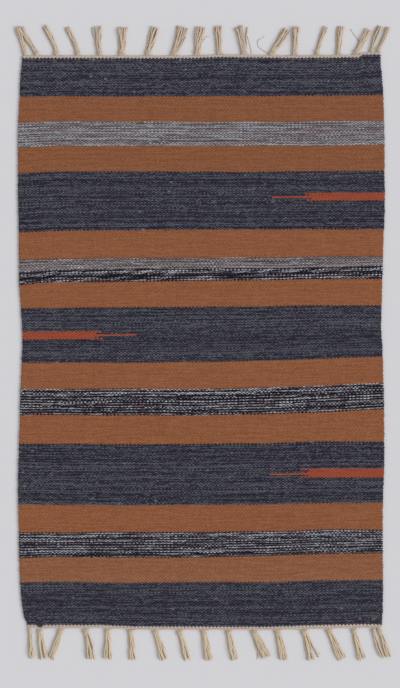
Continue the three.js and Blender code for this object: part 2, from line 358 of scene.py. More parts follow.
def dressed(piece: bpy.types.Object, *materials: bpy.types.Material) -> bpy.types.Object:
    """Gives a piece its materials and reports it.

    Args:
        piece: The piece.
        *materials: Its materials, in the order of their numbers.

    Returns:
        The piece.
    """
    for material in materials:
        piece.data.materials.append(material)
    log.info("%s: %d faces", piece.name, len(piece.data.polygons))
    return piece


@dataclass
class Draft:
    """Points, faces and corner maps gathered for one mesh.

    Args:
        map_names: The maps that the mesh has.
    """

    map_names: tuple[str, ...]
    points: list[np.ndarray] = field(default_factory=list)
    valleys: list[np.ndarray] = field(default_factory=list)
    batches: list[tuple[np.ndarray, dict[str, np.ndarray], np.ndarray]] = field(default_factory=list)
    count: int = 0

    def add_points(self, points: np.ndarray, valley: np.ndarray | None = None) -> int:
        """Adds points.

        Args:
            points: One row of x, y and z a point.
            valley: Marks the points that lie in a valley. An edge between two of them is a crease.

        Returns:
            The number of the first.
        """
        self.points.append(points)
        self.valleys.append(np.zeros(len(points), bool) if valley is None else valley)
        self.count += len(points)
        return self.count - len(points)

    def add_faces(self, faces: np.ndarray, maps: dict[str, np.ndarray], finish: np.ndarray | int) -> None:
        """Adds faces.

        Args:
            faces: Rows of three or four point numbers.
            maps: For each map, the places of their corners, one row a corner.
            finish: The number of the material that they wear, or of each one's.
        """
        self.batches.append((faces, maps, np.broadcast_to(finish, len(faces))))

    def finished(self, name: str) -> bpy.types.Object:
        """Makes the mesh, four-sided faces first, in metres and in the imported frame.

        Args:
            name: The mesh's and the piece's name.

        Returns:
            The piece.
        """
        points = (np.concatenate(self.points) + RUG_SHIFT) * MM
        batches = sorted(self.batches, key=lambda batch: -batch[0].shape[1])
        corners = np.concatenate([faces.ravel() for faces, _, _ in batches])
        sides = np.concatenate([np.full(len(faces), faces.shape[1]) for faces, _, _ in batches])
        finish = np.concatenate([finish for _, _, finish in batches])
        mesh = bpy.data.meshes.new(name)
        mesh.vertices.add(len(points))
        mesh.vertices.foreach_set("co", points.astype(np.float32).ravel())
        mesh.loops.add(len(corners))
        mesh.loops.foreach_set("vertex_index", corners.astype(np.int32))
        mesh.polygons.add(len(sides))
        mesh.polygons.foreach_set("loop_start", (np.cumsum(sides) - sides).astype(np.int32))
        mesh.polygons.foreach_set("material_index", finish.astype(np.int32))
        mesh.update(calc_edges=True)
        for map_name in self.map_names:
            places = [maps.get(map_name, np.zeros((faces.size, 2))) for faces, maps, _ in batches]
            layer = mesh.uv_layers.new(name=map_name, do_init=False)
            layer.uv.foreach_set("vector", np.concatenate(places).astype(np.float32).ravel())
        mesh.shade_smooth()
        valley = np.concatenate(self.valleys)
        if valley.any():
            ends = np.empty(len(mesh.edges) * 2, np.int32)
            mesh.edges.foreach_get("vertices", ends)
            crease = valley[ends.reshape(-1, 2)].all(1)
            mesh.attributes.new("sharp_edge", "BOOLEAN", "EDGE").data.foreach_set("value", crease)
        mesh.validate()
        piece = bpy.data.objects.new(name, mesh)
        bpy.context.scene.collection.objects.link(piece)
        return piece


@dataclass(frozen=True)
class Waviness:
    """Smooth unevenness, as a few crossed waves with seeded directions and phases.

    Args:
        seed: Sets the waves.
        shortest: The shortest wave, in the units of the places asked for.
        longest: The longest one.
        waves: How many there are.
    """

    seed: int
    shortest: float
    longest: float
    waves: int = 8

    def at(self, across: np.ndarray, along: np.ndarray) -> np.ndarray:
        """Works out the unevenness at some places.

        Args:
            across: How far across each place lies.
            along: How far along it lies.

        Returns:
            A number for each place, mostly from -1 to 1.
        """
        draw = np.random.default_rng(self.seed)
        total = np.zeros(np.broadcast(across, along).shape)
        for _ in range(self.waves):
            length = draw.uniform(self.shortest, self.longest)
            heading, phase = draw.uniform(0, 2 * math.pi, 2)
            ahead = across * math.cos(heading) + along * math.sin(heading)
            total += np.sin(2 * math.pi / length * ahead + phase)
        return total / math.sqrt(self.waves)


PICK_WAVES = Waviness(seed=3, shortest=45, longest=160)
WARP_WAVES = Waviness(seed=5, shortest=60, longest=240)


@dataclass(frozen=True)
class Quarter:
    """One quarter of a float, whose points are counted in half warps and half picks from the crown.

    Args:
        sideways: +1 where it lies to the right of the crown, -1 to the left.
        downward: +1 where it lies towards the rug's lower end, -1 towards the upper one.
    """

    sideways: int
    downward: int

    def faces(self) -> tuple[tuple[tuple[int, int], ...], ...]:
        """Lists the corners of its two faces, always the same way round.

        Returns:
            Those of the face at the crown and those of the face at the float's narrow end.
        """
        crown, shoulder, corner = (0, 0), (self.sideways, 0), (self.sideways, self.downward)
        side_dip, end_dip = (2 * self.sideways, 0), (0, 2 * self.downward)
        if self.sideways == self.downward:
            return (crown, end_dip, corner, shoulder), (shoulder, corner, side_dip)
        return (crown, shoulder, corner, end_dip), (shoulder, side_dip, corner)


QUARTERS = (Quarter(1, 1), Quarter(1, -1), Quarter(-1, 1), Quarter(-1, -1))


@dataclass
class Weave:
    """The grid of warps and picks: where each lies in the cloth and how far its floats stand out.

    A place in the weave is a warp number, counted from the left selvedge, and a pick number, counted from
    the upper end. Past the outermost warps the cloth turns down over the selvedge, and past the first and
    last picks it goes on as the heading and turns down over its outer edge.

    Args:
        warps: How many warps there are.
        thickness: The cloth's thickness.
        core: How far its even surface lies from its middle.
        crown: How far the middle of a float stands out of that surface.
        shoulder: The same half a warp along the float.
        flank: The same there between two picks.
        dip: The same where the weft goes under a warp.
        heading_picks: How many picks a heading has.
        heading_flat: How many picks wide its flat part is.
        heading_turn: How many picks it takes to turn down over its outer edge.
        heading_thinning: How much thinner than the cloth it is.
        pick_wander: How far the picks wander along the rug.
        calm_picks: Over how many picks from an end that wandering sets in.
        warp_wander: How far the warps wander across it.
        edge_wander: How far a pick draws its selvedge in or lets it out.
        edge_depth: Over how many warps that fades.
        float_spread: How unevenly the points of the floats stand out.
        warp_spread: How unevenly the warps do.
        margin: How many warps and picks past the outermost the unevenness is drawn for.
        seed: Sets the unevenness.
    """

    warps: int = 198
    thickness: float = 4.0
    core: float = 1.55
    crown: float = 0.45
    shoulder: float = 0.26
    flank: float = -0.12
    dip: float = -0.8
    heading_picks: int = 3
    heading_flat: float = 1.7
    heading_turn: float = 0.9
    heading_thinning: float = 0.18
    pick_wander: float = 0.45
    calm_picks: int = 5
    warp_wander: float = 0.2
    edge_wander: float = 0.32
    edge_depth: float = 2.5
    float_spread: float = 0.05
    warp_spread: float = 0.03
    margin: int = 6
    seed: int = 11

    def __post_init__(self) -> None:
        """Numbers the stripes' picks and draws the unevenness of the floats."""
        starts = np.cumsum([0, *[stripe.picks for stripe in STRIPES]])
        self.picks = int(starts[-1])
        self.first_pick = {stripe.name: int(start) for stripe, start in zip(STRIPES, starts, strict=False)}
        self.edge_at = starts - 0.5
        draw = np.random.default_rng(self.seed)
        warps, picks = self.warps + 2 * self.margin, self.picks + 2 * self.margin
        self.jitter = draw.normal(0, 1, (2 * warps, 2 * picks)).clip(-2.2, 2.2)
        self.pick_jitter = draw.normal(0, 1, picks + 2).clip(-2, 2)
        self.warp_jitter = draw.normal(0, 1, warps + 2).clip(-2, 2)
        self.edge_jitter = draw.normal(0, 1, (2, picks + 2)).clip(-2, 2)

    def stripe_edge(self, edge: np.ndarray, x: np.ndarray) -> np.ndarray:
        """Finds the stripes' edges.

        Args:
            edge: The number of the edge for each place, from the rug's upper end.
            x: How far across the rug the place is.

        Returns:
            How far along the rug the edge lies there.
        """
        table = np.array([stripe.edge for stripe in STRIPES])
        row = (edge - 1).clip(0)
        along = np.zeros(len(x))
        for drift in (-STATION_EASE, 0, STATION_EASE):
            cell = (np.searchsorted(STATIONS, x + drift) - 1).clip(0, len(STATIONS) - 2)
            start, end = np.take(STATIONS, cell), np.take(STATIONS, cell + 1)
            share = ((x + drift - start) / (end - start)).clip(-0.2, 1.2)
            along += (table[row, cell] * (1 - share) + table[row, cell + 1] * share) / 3
        upper, lower = ENDS
        along = np.where(edge == 0, upper.inner(x), along)
        return np.where(edge == len(STRIPES), lower.inner(x), along)

    @staticmethod
    def selvedges(y: np.ndarray) -> tuple[np.ndarray, np.ndarray]:
        """Finds the selvedges.

        Args:
            y: How far along the rug each place is.

        Returns:
            How far across the rug its left and its right selvedge lie there.
        """
        near = [y + step for step in (-SELVEDGE_EASE, 0, SELVEDGE_EASE)]
        left, right = (sum(read_table(SELVEDGES, at, column) for at in near) / 3 for column in (1, 2))
        return left, right

    def laid_flat(self, warp: np.ndarray, pick: np.ndarray) -> tuple[np.ndarray, np.ndarray]:
        """Lays places in the weave out flat, before the edges turn down.

        Args:
            warp: Each place among the warps, no further out than the outermost.
            pick: Its place among the picks.

        Returns:
            How far across and how far along the rug they lie.
        """
        last_warp, last_pick = self.warps - 1, self.picks - 1
        share = warp / last_warp
        rough_x = np.interp(share, (0, 1), ROUGH_SELVEDGES)
        on_pick = pick.clip(-0.5, last_pick + 0.5)
        stripe = (np.searchsorted(self.edge_at, on_pick, side="right") - 1).clip(0, len(STRIPES) - 1)
        top, bottom = self.edge_at[stripe], self.edge_at[stripe + 1]
        down = (on_pick - top) / (bottom - top)
        half = self.thickness / 2
        x = rough_x
        for _ in range(2):
            y = self.stripe_edge(stripe, x) * (1 - down) + self.stripe_edge(stripe + 1, x) * down
            left, right = self.selvedges(y)
            x = left + half + (right - left - 2 * half) * share
        inside = np.minimum(on_pick + 0.5, last_pick + 0.5 - on_pick)
        wander = self.pick_wander * (inside / self.calm_picks).clip(0, 1)
        y += wander * PICK_WAVES.at(rough_x * 0.6, y * 1.6)
        left, right = self.selvedges(y)
        row = np.rint(pick).astype(int) + self.margin
        left += self.edge_wander * self.edge_jitter[0][row] * np.exp(-warp / self.edge_depth)
        right += self.edge_wander * self.edge_jitter[1][row] * np.exp((warp - last_warp) / self.edge_depth)
        x = left + half + (right - left - 2 * half) * share
        x += self.warp_wander * WARP_WAVES.at(rough_x, y) * np.sin(math.pi * share)
        return x, y

    def place(
        self, warp: np.ndarray, pick: np.ndarray, lift: np.ndarray, under: bool = False
    ) -> np.ndarray:
        """Returns the points of the cloth's surface.

        Args:
            warp: Each point's place among the warps.
            pick: Its place among the picks.
            lift: How far it stands out of the cloth's even surface.
            under: Whether it is on the underside.

        Returns:
            One row of x, y and z a point, in millimetres.
        """
        last_warp, last_pick = self.warps - 1, self.picks - 1
        half, flat = self.thickness / 2, self.heading_flat
        x, y = self.laid_flat(warp.clip(0, last_warp), pick)
        past = np.maximum(-0.5 - pick, pick - last_pick - 0.5).clip(0, None)
        sideways = np.where(warp < self.warps / 2, -1.0, 1.0)
        outward = np.where(pick < self.picks / 2, 1.0, -1.0)
        width = np.where(
            outward > 0,
            np.interp(x, UPPER_END[:, 0], UPPER_END[:, 2] - UPPER_END[:, 1]),
            np.interp(x, LOWER_END[:, 0], LOWER_END[:, 1] - LOWER_END[:, 2]),
        )
        on_heading = (past / flat).clip(0, 1)
        thin = 1 - self.heading_thinning * on_heading
        y += outward * (width - half * (1 - self.heading_thinning)) * on_heading
        side_turn = np.maximum(-warp, warp - last_warp).clip(0, 2) * math.pi / 2
        end_turn = (past - flat).clip(0, None) / self.heading_turn * math.pi / 2
        bend = np.hypot(side_turn, end_turn)
        to_side, to_end = side_turn / bend.clip(1e-9), end_turn / bend.clip(1e-9)
        bend = bend.clip(0, math.pi)
        radius = (self.core + lift) * thin
        height = half * thin + radius * (-1 if under else np.cos(bend))
        out = 0 if under else radius * np.sin(bend)
        x += sideways * out * to_side
        y += outward * out * to_end
        return np.stack([x, y, height.clip(FLOOR_GAP)], 1)

    @staticmethod
    def over(steps: np.ndarray) -> np.ndarray:
        """Tells which points, counted in half warps and half picks, have the weft over a warp."""
        return (steps.sum(1) // 2) % 2 == 0

    def lift_of(self, steps: np.ndarray) -> np.ndarray:
        """Works out how far points of the surface stand out.

        Args:
            steps: The points, counted in half warps and half picks.

        Returns:
            How far each stands out of the cloth's even surface.
        """
        warp_half, pick_half = (steps % 2 == 1).T
        lift = np.where(self.over(steps), self.crown, self.dip)
        lift = np.where(warp_half, np.where(pick_half, self.flank, self.shoulder), lift)
        warp, pick = (steps + 2 * self.margin).T
        lift += self.float_spread * self.jitter[warp, pick]
        lift += self.float_spread * self.pick_jitter[(pick + 1) // 2]
        return lift + self.warp_spread * self.warp_jitter[(warp + 1) // 2]

    def floats(
        self, draft: Draft, warp: np.ndarray, pick: np.ndarray, finish: np.ndarray, tall: float = 1.0
    ) -> None:
        """Adds floats of the weft to a draft.

        Args:
            draft: What they are added to.
            warp: The warp that each float passes over.
            pick: The pick that it belongs to.
            finish: The number of its material.
            tall: How much of the bake map's height they take, from its bottom.
        """
        beyond = self.heading_picks + 1
        in_width = {1: warp < self.warps + 1, -1: warp > -2}
        in_length = {1: pick < self.picks - 1 + beyond, -1: pick > -beyond}
        crown = np.stack([warp, pick], 1)[:, None] * 2
        stride, offset = 4 * (self.picks + 2 * self.margin), 2 * self.margin
        batches = []
        for quarter in QUARTERS:
            chosen = np.flatnonzero(in_width[quarter.sideways] & in_length[quarter.downward])
            for face in quarter.faces():
                steps = crown[chosen] + face
                batches.append((chosen, steps, (steps[..., 0] + offset) * stride + steps[..., 1] + offset))
        kept = np.unique(np.concatenate([code.ravel() for _, _, code in batches]))
        own = np.stack([kept // stride, kept % stride], 1) - offset
        half = own % 2 == 1
        valley = np.where(half.any(1), half.all(1), ~self.over(own))
        first_point = draft.add_points(self.place(own[:, 0] / 2, own[:, 1] / 2, self.lift_of(own)), valley)
        laid = self.bake_layout(warp, pick, tall)
        for chosen, steps, code in batches:
            which = np.repeat(chosen, steps.shape[1])
            at = steps.reshape(-1, 2) / 2
            maps = {
                BAKE_MAP: laid(which, at),
                WEFT_MAP: np.stack([at[:, 0], at[:, 1] - pick[which]], 1),
                PICK_MAP: np.stack([pick[which], warp[which]], 1),
            }
            draft.add_faces(np.searchsorted(kept, code) + first_point, maps, finish[chosen])

    def bake_layout(
        self, warp: np.ndarray, pick: np.ndarray, tall: float
    ) -> Callable[[np.ndarray, np.ndarray], np.ndarray]:
        """Lays a piece's floats out on its bake map, as a few rows of cloth one above the other.

        Args:
            warp: The warp of each float.
            pick: The pick of each float.
            tall: How much of the map's height they take.

        Returns:
            A function from float numbers and places in the weave to places on the map.
        """
        low, high = warp.min() - 1.0, warp.max() + 1.0
        first, picks = pick.min(), np.ptp(pick) + 2.0
        rows = max(1, round(math.sqrt((high - low) * WARP_PITCH / (picks * PICK_PITCH) * tall)))
        run = (high - low) / rows
        row_of = ((warp - low) / run).astype(int).clip(0, rows - 1)
        gap = 0.006

        def laid(which: np.ndarray, at: np.ndarray) -> np.ndarray:
            """Places corners of floats on the map.

            Args:
                which: The number of the float that each corner belongs to.
                at: The corners' places in the weave.

            Returns:
                Their places on the map.
            """
            row = row_of[which]
            u = (at[:, 0] - low - row * run + 1.0) / (run + 2.0)
            v = (at[:, 1] - first + 1.0) / picks
            up = tall * (row + gap * rows + (1 - 2 * gap * rows) * v) / rows
            return np.stack([gap + (1 - 2 * gap) * u, up], 1)

        return laid

    def all_warps(self) -> np.ndarray:
        """Returns the numbers of the warps, with the two at each side that turn down over the selvedge."""
        return np.arange(-2, self.warps + 2)


@dataclass
class Cloth:
    """The woven cloth: a piece of floats for each stripe and inlay, and the underside that they share.

    Args:
        weave: The grid of its warps and picks.
        finishes: The materials.
        bar_at: How far from x = 0 the picks of the inlaid bars are counted.
        bar_search: How far to each side of that the floats are compared.
    """

    weave: Weave
    finishes: FinishRack
    bar_at: float = 240.0
    bar_search: float = 20.0

    def inlaid(self, stripe: Stripe, warp: np.ndarray, pick: np.ndarray) -> tuple[np.ndarray, np.ndarray]:
        """Finds a stripe's inlays among its floats.

        Args:
            stripe: The stripe.
            warp: The warp of each of its floats.
            pick: The pick of each of them.

        Returns:
            For each float the number of the inlay that it belongs to, or -1, and the number of the material
            that it wears in it: 0 in the bar, 1 or 2 in the tail.
        """
        found, finish = np.full(len(warp), -1), np.zeros(len(warp), int)
        crown = self.weave.place(warp.astype(float), pick.astype(float), np.zeros(len(warp)))
        for number, inlay in enumerate(INLAYS):
            if inlay.stripe != stripe.name:
                continue
            inward = crown[:, 0] * inlay.side
            near = np.flatnonzero(np.abs(inward - self.bar_at) < self.bar_search)
            middle = pick[near[np.abs(crown[near, 1] - inlay.middle).argmin()]]
            upper = middle - len(inlay.reaches) // 2
            for row, reach in enumerate(inlay.reaches):
                found[(pick == upper + row) & (inward > reach)] = number
            tail = upper + int(np.argmin(inlay.reaches))
            in_tail = (inward < inlay.tail_start) & ((pick == tail) | (pick == tail + 1))
            finish[(found == number) & in_tail] = 1 + tail % 2
        return found, finish

    def build(self) -> list[bpy.types.Object]:
        """Makes the stripes, the inlays and the underside.

        Returns:
            The underside, followed by the others.
        """
        pieces = []
        for stripe in STRIPES:
            first = self.weave.first_pick[stripe.name]
            warp, pick = np.meshgrid(self.weave.all_warps(), np.arange(first, first + stripe.picks))
            over = (warp + pick) % 2 == 0
            warp, pick = warp[over], pick[over]
            owner, finish = self.inlaid(stripe, warp, pick)
            for number in np.unique(owner):
                chosen, plain = owner == number, number < 0
                draft = Draft(CLOTH_MAPS)
                self.weave.floats(draft, warp[chosen], pick[chosen], finish[chosen])
                piece = draft.finished(stripe.name if plain else INLAYS[number].name)
                weft = self.finishes.weft(stripe.yarn if plain else Yarn.RUST)
                pieces.append(dressed(piece, weft, *(() if plain else self.finishes.tails)))
        return [self.underside(), *pieces]

    def underside(self) -> bpy.types.Object:
        """Makes the cloth's lower face, with half as many rows of floats as there are picks.

        Returns:
            The piece.
        """
        weave = self.weave
        columns = np.arange(weave.warps)
        end = 0.5 + weave.heading_flat
        rows = np.concatenate([[-end], np.arange(-1, weave.picks + 1, 2.0), [weave.picks - 1 + end]])
        warp, pick = np.meshgrid(columns, rows, indexing="ij")
        raised = (warp + np.arange(len(rows))) % 2 == 0
        lift = np.where(raised, weave.crown, weave.dip * 0.5).ravel()
        points = weave.place(warp.ravel(), pick.ravel(), lift, under=True)
        number = np.arange(len(points)).reshape(warp.shape)
        corners = [number[:-1, :-1], number[:-1, 1:], number[1:, 1:], number[1:, :-1]]
        quads = np.stack(corners, -1).reshape(-1, 4)
        at = np.stack([warp.ravel(), pick.ravel()], 1)[quads]
        middle = at.mean(1)
        own = np.repeat(np.floor(middle), 4, 0)
        at = at.reshape(-1, 2)
        spread = (at - (0, rows[0])) / (columns[-1], rows[-1] - rows[0])
        maps = {
            BAKE_MAP: 0.004 + 0.992 * spread,
            WEFT_MAP: np.stack([at[:, 0], at[:, 1] - np.repeat(middle[:, 1], 4)], 1),
            PICK_MAP: own[:, ::-1],
        }
        stripe = (np.searchsorted(weave.edge_at, middle[:, 1], side="right") - 1).clip(0, len(STRIPES) - 1)
        draft = Draft(CLOTH_MAPS)
        draft.add_points(points)
        draft.add_faces(quads, maps, np.array([list(Yarn).index(s.yarn) for s in STRIPES])[stripe])
        return dressed(draft.finished("cloth_underside"), *[self.finishes.weft(yarn) for yarn in Yarn])


@dataclass
class YarnBundle:
    """Lengths of round yarn gathered for one mesh, each with its own row on the bake map.

    Args:
        sides: How many sides a yarn has.
        paths: Each length's centre line, its radius at each point of it and its material's number.
        blunt: How far a tip stands out past its last ring, in steps of the path.
        tip: How much of the yarn map a tip takes up.
        apart: How far apart two lengths lie in a row of the bake map, with 1 as the longest one.
        band: How far from a row's bottom a length lies in it and how high it is, with 1 as the row.
    """

    sides: int = 7
    paths: list[tuple[np.ndarray, np.ndarray, int]] = field(default_factory=list)
    blunt: float = 0.15
    tip: float = 0.35
    apart: float = 0.02
    band: tuple[float, float] = (0.06, 0.88)

    def add(self, path: np.ndarray, radius: np.ndarray | float, finish: int = 0) -> None:
        """Adds one length of yarn.

        Args:
            path: The points that its centre follows, in millimetres.
            radius: Its radius, or its radius at each point.
            finish: The number of the material that it wears.
        """
        self.paths.append((path, np.broadcast_to(radius, len(path)).astype(float), finish))

    @staticmethod
    def frames(path: np.ndarray) -> tuple[np.ndarray, np.ndarray]:
        """Sets up frames along a path that turn as little as they can.

        Args:
            path: The path's points.

        Returns:
            Two unit vectors for each point, square to the path and to each other.
        """
        ahead = np.gradient(path, axis=0)
        ahead /= np.linalg.norm(ahead, axis=1, keepdims=True)
        side = np.cross(ahead[0], NO_PATH_WAY)
        sides = []
        for tangent in ahead:
            side = side - tangent * side.dot(tangent)
            side = side / np.linalg.norm(side)
            sides.append(side)
        sides = np.array(sides)
        return sides, np.cross(sides, ahead)

    def laid_rows(self) -> tuple[list[tuple[float, float, float]], float]:
        """Lays the lengths out in rows on the bake map.

        Returns:
            For each length its row's bottom and height and where it starts in it, all as shares of the map,
            and the longest length.
        """
        lengths = [run_lengths(path).sum() for path, _, _ in self.paths]
        longest = max(lengths)
        row, used, rows = 0, 0.0, []
        for length in lengths:
            if used > 0 and used + length > longest * 1.001:
                row, used = row + 1, 0.0
            rows.append((row, used))
            used += length + self.apart * longest
        return [(r / (row + 1), 1 / (row + 1), start / (longest * MAP_ROOM)) for r, start in rows], longest

    def drawn(self, draft: Draft, bottom: float = 0.0) -> None:
        """Adds every length to a draft as a closed tube.

        Args:
            draft: What they are added to.
            bottom: How much of the bake map below them stays free.
        """
        rows, longest = self.laid_rows()
        sides, each = self.sides, np.arange(self.sides)
        turn = 2 * math.pi * (each / sides)
        follow = (each + 1) % sides
        for number, (path, radius, finish) in enumerate(self.paths):
            one, other = self.frames(path)
            ring = one[:, None] * np.cos(turn)[:, None] + other[:, None] * np.sin(turn)[:, None]
            tips = path[[0, -1]] + (path[[0, -1]] - path[[1, -2]]) * self.blunt
            points = np.concatenate([(path[:, None] + ring * radius[:, None, None]).reshape(-1, 3), tips])
            station, side = np.meshgrid(np.arange(len(path) - 1), each, indexing="ij")
            here, there, after = station * sides, (station + 1) * sides, (side + 1) % sides
            quads = np.stack([here + side, here + after, there + after, there + side], -1).reshape(-1, 4)
            last, start_tip, end_tip = len(points) - 2 - sides, len(points) - 2, len(points) - 1
            start_cap = np.stack([follow, each, np.full(sides, start_tip)], 1)
            end_cap = np.stack([last + each, last + follow, np.full(sides, end_tip)], 1)
            run = np.concatenate([[0], np.cumsum(run_lengths(path))])
            quad_along = np.stack([run[station], run[station], run[station + 1], run[station + 1]], -1)
            quad_round = np.stack([side, side + 1, side + 1, side], -1) / sides
            cap_along = [[0, 0, -self.tip], [run[-1], run[-1], run[-1] + self.tip]]
            cap_along = np.array(cap_along).repeat(sides, 0)
            cap_round = [[each + 1, each, each + 0.5], [each, each + 1, each + 0.5]]
            cap_round = np.concatenate(cap_round, 1).T / sides
            low, high, start = rows[number]
            first = draft.add_points(points)
            for faces, along, about in (
                (quads, quad_along.ravel(), quad_round.ravel()),
                (np.concatenate([start_cap, end_cap]), cap_along.ravel(), cap_round.ravel()),
            ):
                u = start + (along + 2 * self.tip) / (longest * MAP_ROOM + 4 * self.tip) * 0.995
                v = bottom + (1 - bottom) * (low + high * (self.band[0] + self.band[1] * about))
                own = np.stack([along + YARNS_APART * number, about], 1)
                draft.add_faces(faces + first, {BAKE_MAP: np.stack([u, v], 1), YARN_MAP: own}, finish)


@dataclass
class Heading:
    """The heading at one end of the rug: picks of cream and pink weft, and a twined cord laid on them.

    Args:
        plan: The end that it is at.
        weave: The grid that it goes on from.
        finishes: The materials.
        map_share: How much of the bake map the picks take up.
        cord_share: Where the cord's part of it begins.
        cord_at: Where the cord lies, from the weave's edge at 0 to the heading's at 1.
        cord_height: How high its middle lies.
        cord_radius: The radius of one of its two strands.
        cord_swing: How far a strand swings sideways and up from the cord's middle, in radii.
        cord_sides: How many sides a strand has.
        cord_points: How many points its path has.
        cord_inset: How far inside the heading's ends it stops.
    """

    plan: EndPlan
    weave: Weave
    finishes: FinishRack
    map_share: float = 0.55
    cord_share: float = 0.58
    cord_at: float = 0.64
    cord_height: float = 3.45
    cord_radius: float = 0.5
    cord_swing: tuple[float, float] = (0.9, 0.75)
    cord_sides: int = 6
    cord_points: int = 1180
    cord_inset: float = 1.0

    def build(self) -> bpy.types.Object:
        """Makes the heading.

        Returns:
            The piece, with the cord in it.
        """
        draft = Draft((*CLOTH_MAPS, YARN_MAP))
        self.picks(draft)
        self.cord(draft)
        finishes = self.finishes
        piece = draft.finished(f"woven_heading_{self.plan.name}")
        return dressed(piece, finishes.heading_cream, finishes.heading_pink, finishes.cord)

    def picks(self, draft: Draft) -> None:
        """Adds its picks, of which the second is pink.

        Args:
            draft: What they are added to.
        """
        past = np.arange(1, self.weave.heading_picks + 2)
        rows = -past if self.plan.outward > 0 else self.weave.picks - 1 + past
        warp, pick = np.meshgrid(self.weave.all_warps(), rows)
        over = (warp + pick) % 2 == 0
        pink = np.abs(pick - rows[0]) == 1
        self.weave.floats(draft, warp[over], pick[over], pink[over], tall=self.map_share)

    def cord(self, draft: Draft) -> None:
        """Adds the cord: two strands that twine once in two warps.

        Args:
            draft: What it is added to.
        """
        strands = YarnBundle(sides=self.cord_sides)
        ends = self.plan.table[[0, -1], 0]
        x = np.linspace(ends[0] + self.cord_inset, ends[1] - self.cord_inset, self.cord_points)
        inner = self.plan.inner(x)
        middle = inner + (self.plan.outer(x) - inner) * self.cord_at
        sideways, upward = (self.cord_radius * swing for swing in self.cord_swing)
        turn = 2 * math.pi * x / (2 * WARP_PITCH)
        for phase in (0, math.pi):
            y = middle + sideways * np.cos(turn + phase)
            z = self.cord_height + upward * np.sin(turn + phase)
            strands.add(np.stack([x, y, z], 1), self.cord_radius, 2)
        strands.drawn(draft, bottom=self.cord_share)


@dataclass
class Tassel:
    """One tassel in the making, with the curve that it follows on the floor.

    Args:
        plan: What it is to be like.
        end: The end of the rug that it is at.
        draw: Where its unevenness is drawn from.
        bundle: Its lengths of yarn.
        root_gap: How far outside the heading's edge its curve starts.
    """

    plan: TasselPlan
    end: EndPlan
    draw: np.random.Generator
    bundle: YarnBundle = field(default_factory=YarnBundle)
    root_gap: float = 0.3

    def add(
        self, share: np.ndarray, side: np.ndarray, height: np.ndarray, radius: np.ndarray | float
    ) -> None:
        """Adds a length of yarn that keeps to the curve.

        Args:
            share: How far along the curve each point of its middle is, with 1 at the tassel's tip.
            side: How far beside the curve it lies, towards the rug's right.
            height: How high it lies.
            radius: The yarn's radius there.
        """
        plan, outward = self.plan, self.end.outward
        root = np.array([plan.root, self.end.outer(plan.root) + self.root_gap * outward])
        tip = np.array([plan.tip, root[1] + outward * plan.length])
        middle = (root + tip) / 2 + (2 * plan.bow, 0)
        t = share[:, None]
        points = root * (1 - t) ** 2 + 2 * middle * t * (1 - t) + tip * t**2
        ahead = 2 * (middle - root) * (1 - t) + 2 * (tip - middle) * t
        ahead /= np.linalg.norm(ahead, axis=1, keepdims=True)
        across = np.stack([ahead[:, 1], -ahead[:, 0]], 1) * outward
        self.bundle.add(np.column_stack([points + across * side[:, None], height]), radius)


@dataclass(frozen=True)
class Knot:
    """The turns of strand that hold a tassel together at its neck.

    Args:
        base: The knot's width without the tassel's strands.
        per_strand: How much each of them adds to it.
        turns: How many turns it has.
        radius: The radius of a turn's strand.
        inset: How far inside the knot's edge its middle lies.
        first: How far from the heading the first turn lies.
        pitch: How far apart the turns lie.
        round_by: How much of a whole turn lies to each side of its top.
        slant: The least and the most that the turns slant.
        climb: How far they move along the tassel for each radian.
        tapered: How much smaller a turn is for each place away from the knot's middle.
        middle: How high the middle of a turn lies.
        rise: How far its top lies above that.
        points: How many points a turn's path has.
    """

    base: float = 3.6
    per_strand: float = 0.95
    turns: int = 4
    radius: float = 0.72
    inset: float = 0.7
    first: float = 2.1
    pitch: float = 1.35
    round_by: float = 0.54
    slant: tuple[float, float] = (1.6, 2.6)
    climb: float = 0.25
    tapered: float = 0.16
    middle: float = 2.75
    rise: float = 2.05
    points: int = 22

    def width(self, plan: TasselPlan) -> float:
        """Returns the width of a tassel's knot, which grows with the strands tied in it."""
        return self.base + self.per_strand * plan.strands

    def tie(self, tassel: Tassel) -> None:
        """Adds the knot.

        Args:
            tassel: The tassel that it holds together.
        """
        half = self.width(tassel.plan) / 2 - self.inset
        slant = tassel.draw.choice((-1, 1)) * tassel.draw.uniform(*self.slant)
        turn = np.linspace(-self.round_by, self.round_by, self.points) * 2 * math.pi
        for number in range(self.turns):
            size = 1 - self.tapered * abs(number - (self.turns - 1) / 2)
            run = self.first + number * self.pitch - slant * np.sin(turn) / 2 + self.climb * turn
            height = self.middle + self.rise * size * np.cos(turn)
            tassel.add(run / tassel.plan.length, -half * size * np.sin(turn), height, self.radius)


@dataclass(frozen=True)
class StrandLayer:
    """How one of a tassel's two layers of strands lies.

    Args:
        held: How high its strands leave the knot.
        fall: How far they run while they come down.
        bounce: How far they rise here and there off what they lie on.
        on_top: Whether they lie on the other layer.
    """

    held: float
    fall: float
    bounce: float
    on_top: bool


FLOOR_LAYER = StrandLayer(held=1.8, fall=8.0, bounce=0.08, on_top=False)
TOP_LAYER = StrandLayer(held=3.4, fall=13.0, bounce=0.35, on_top=True)


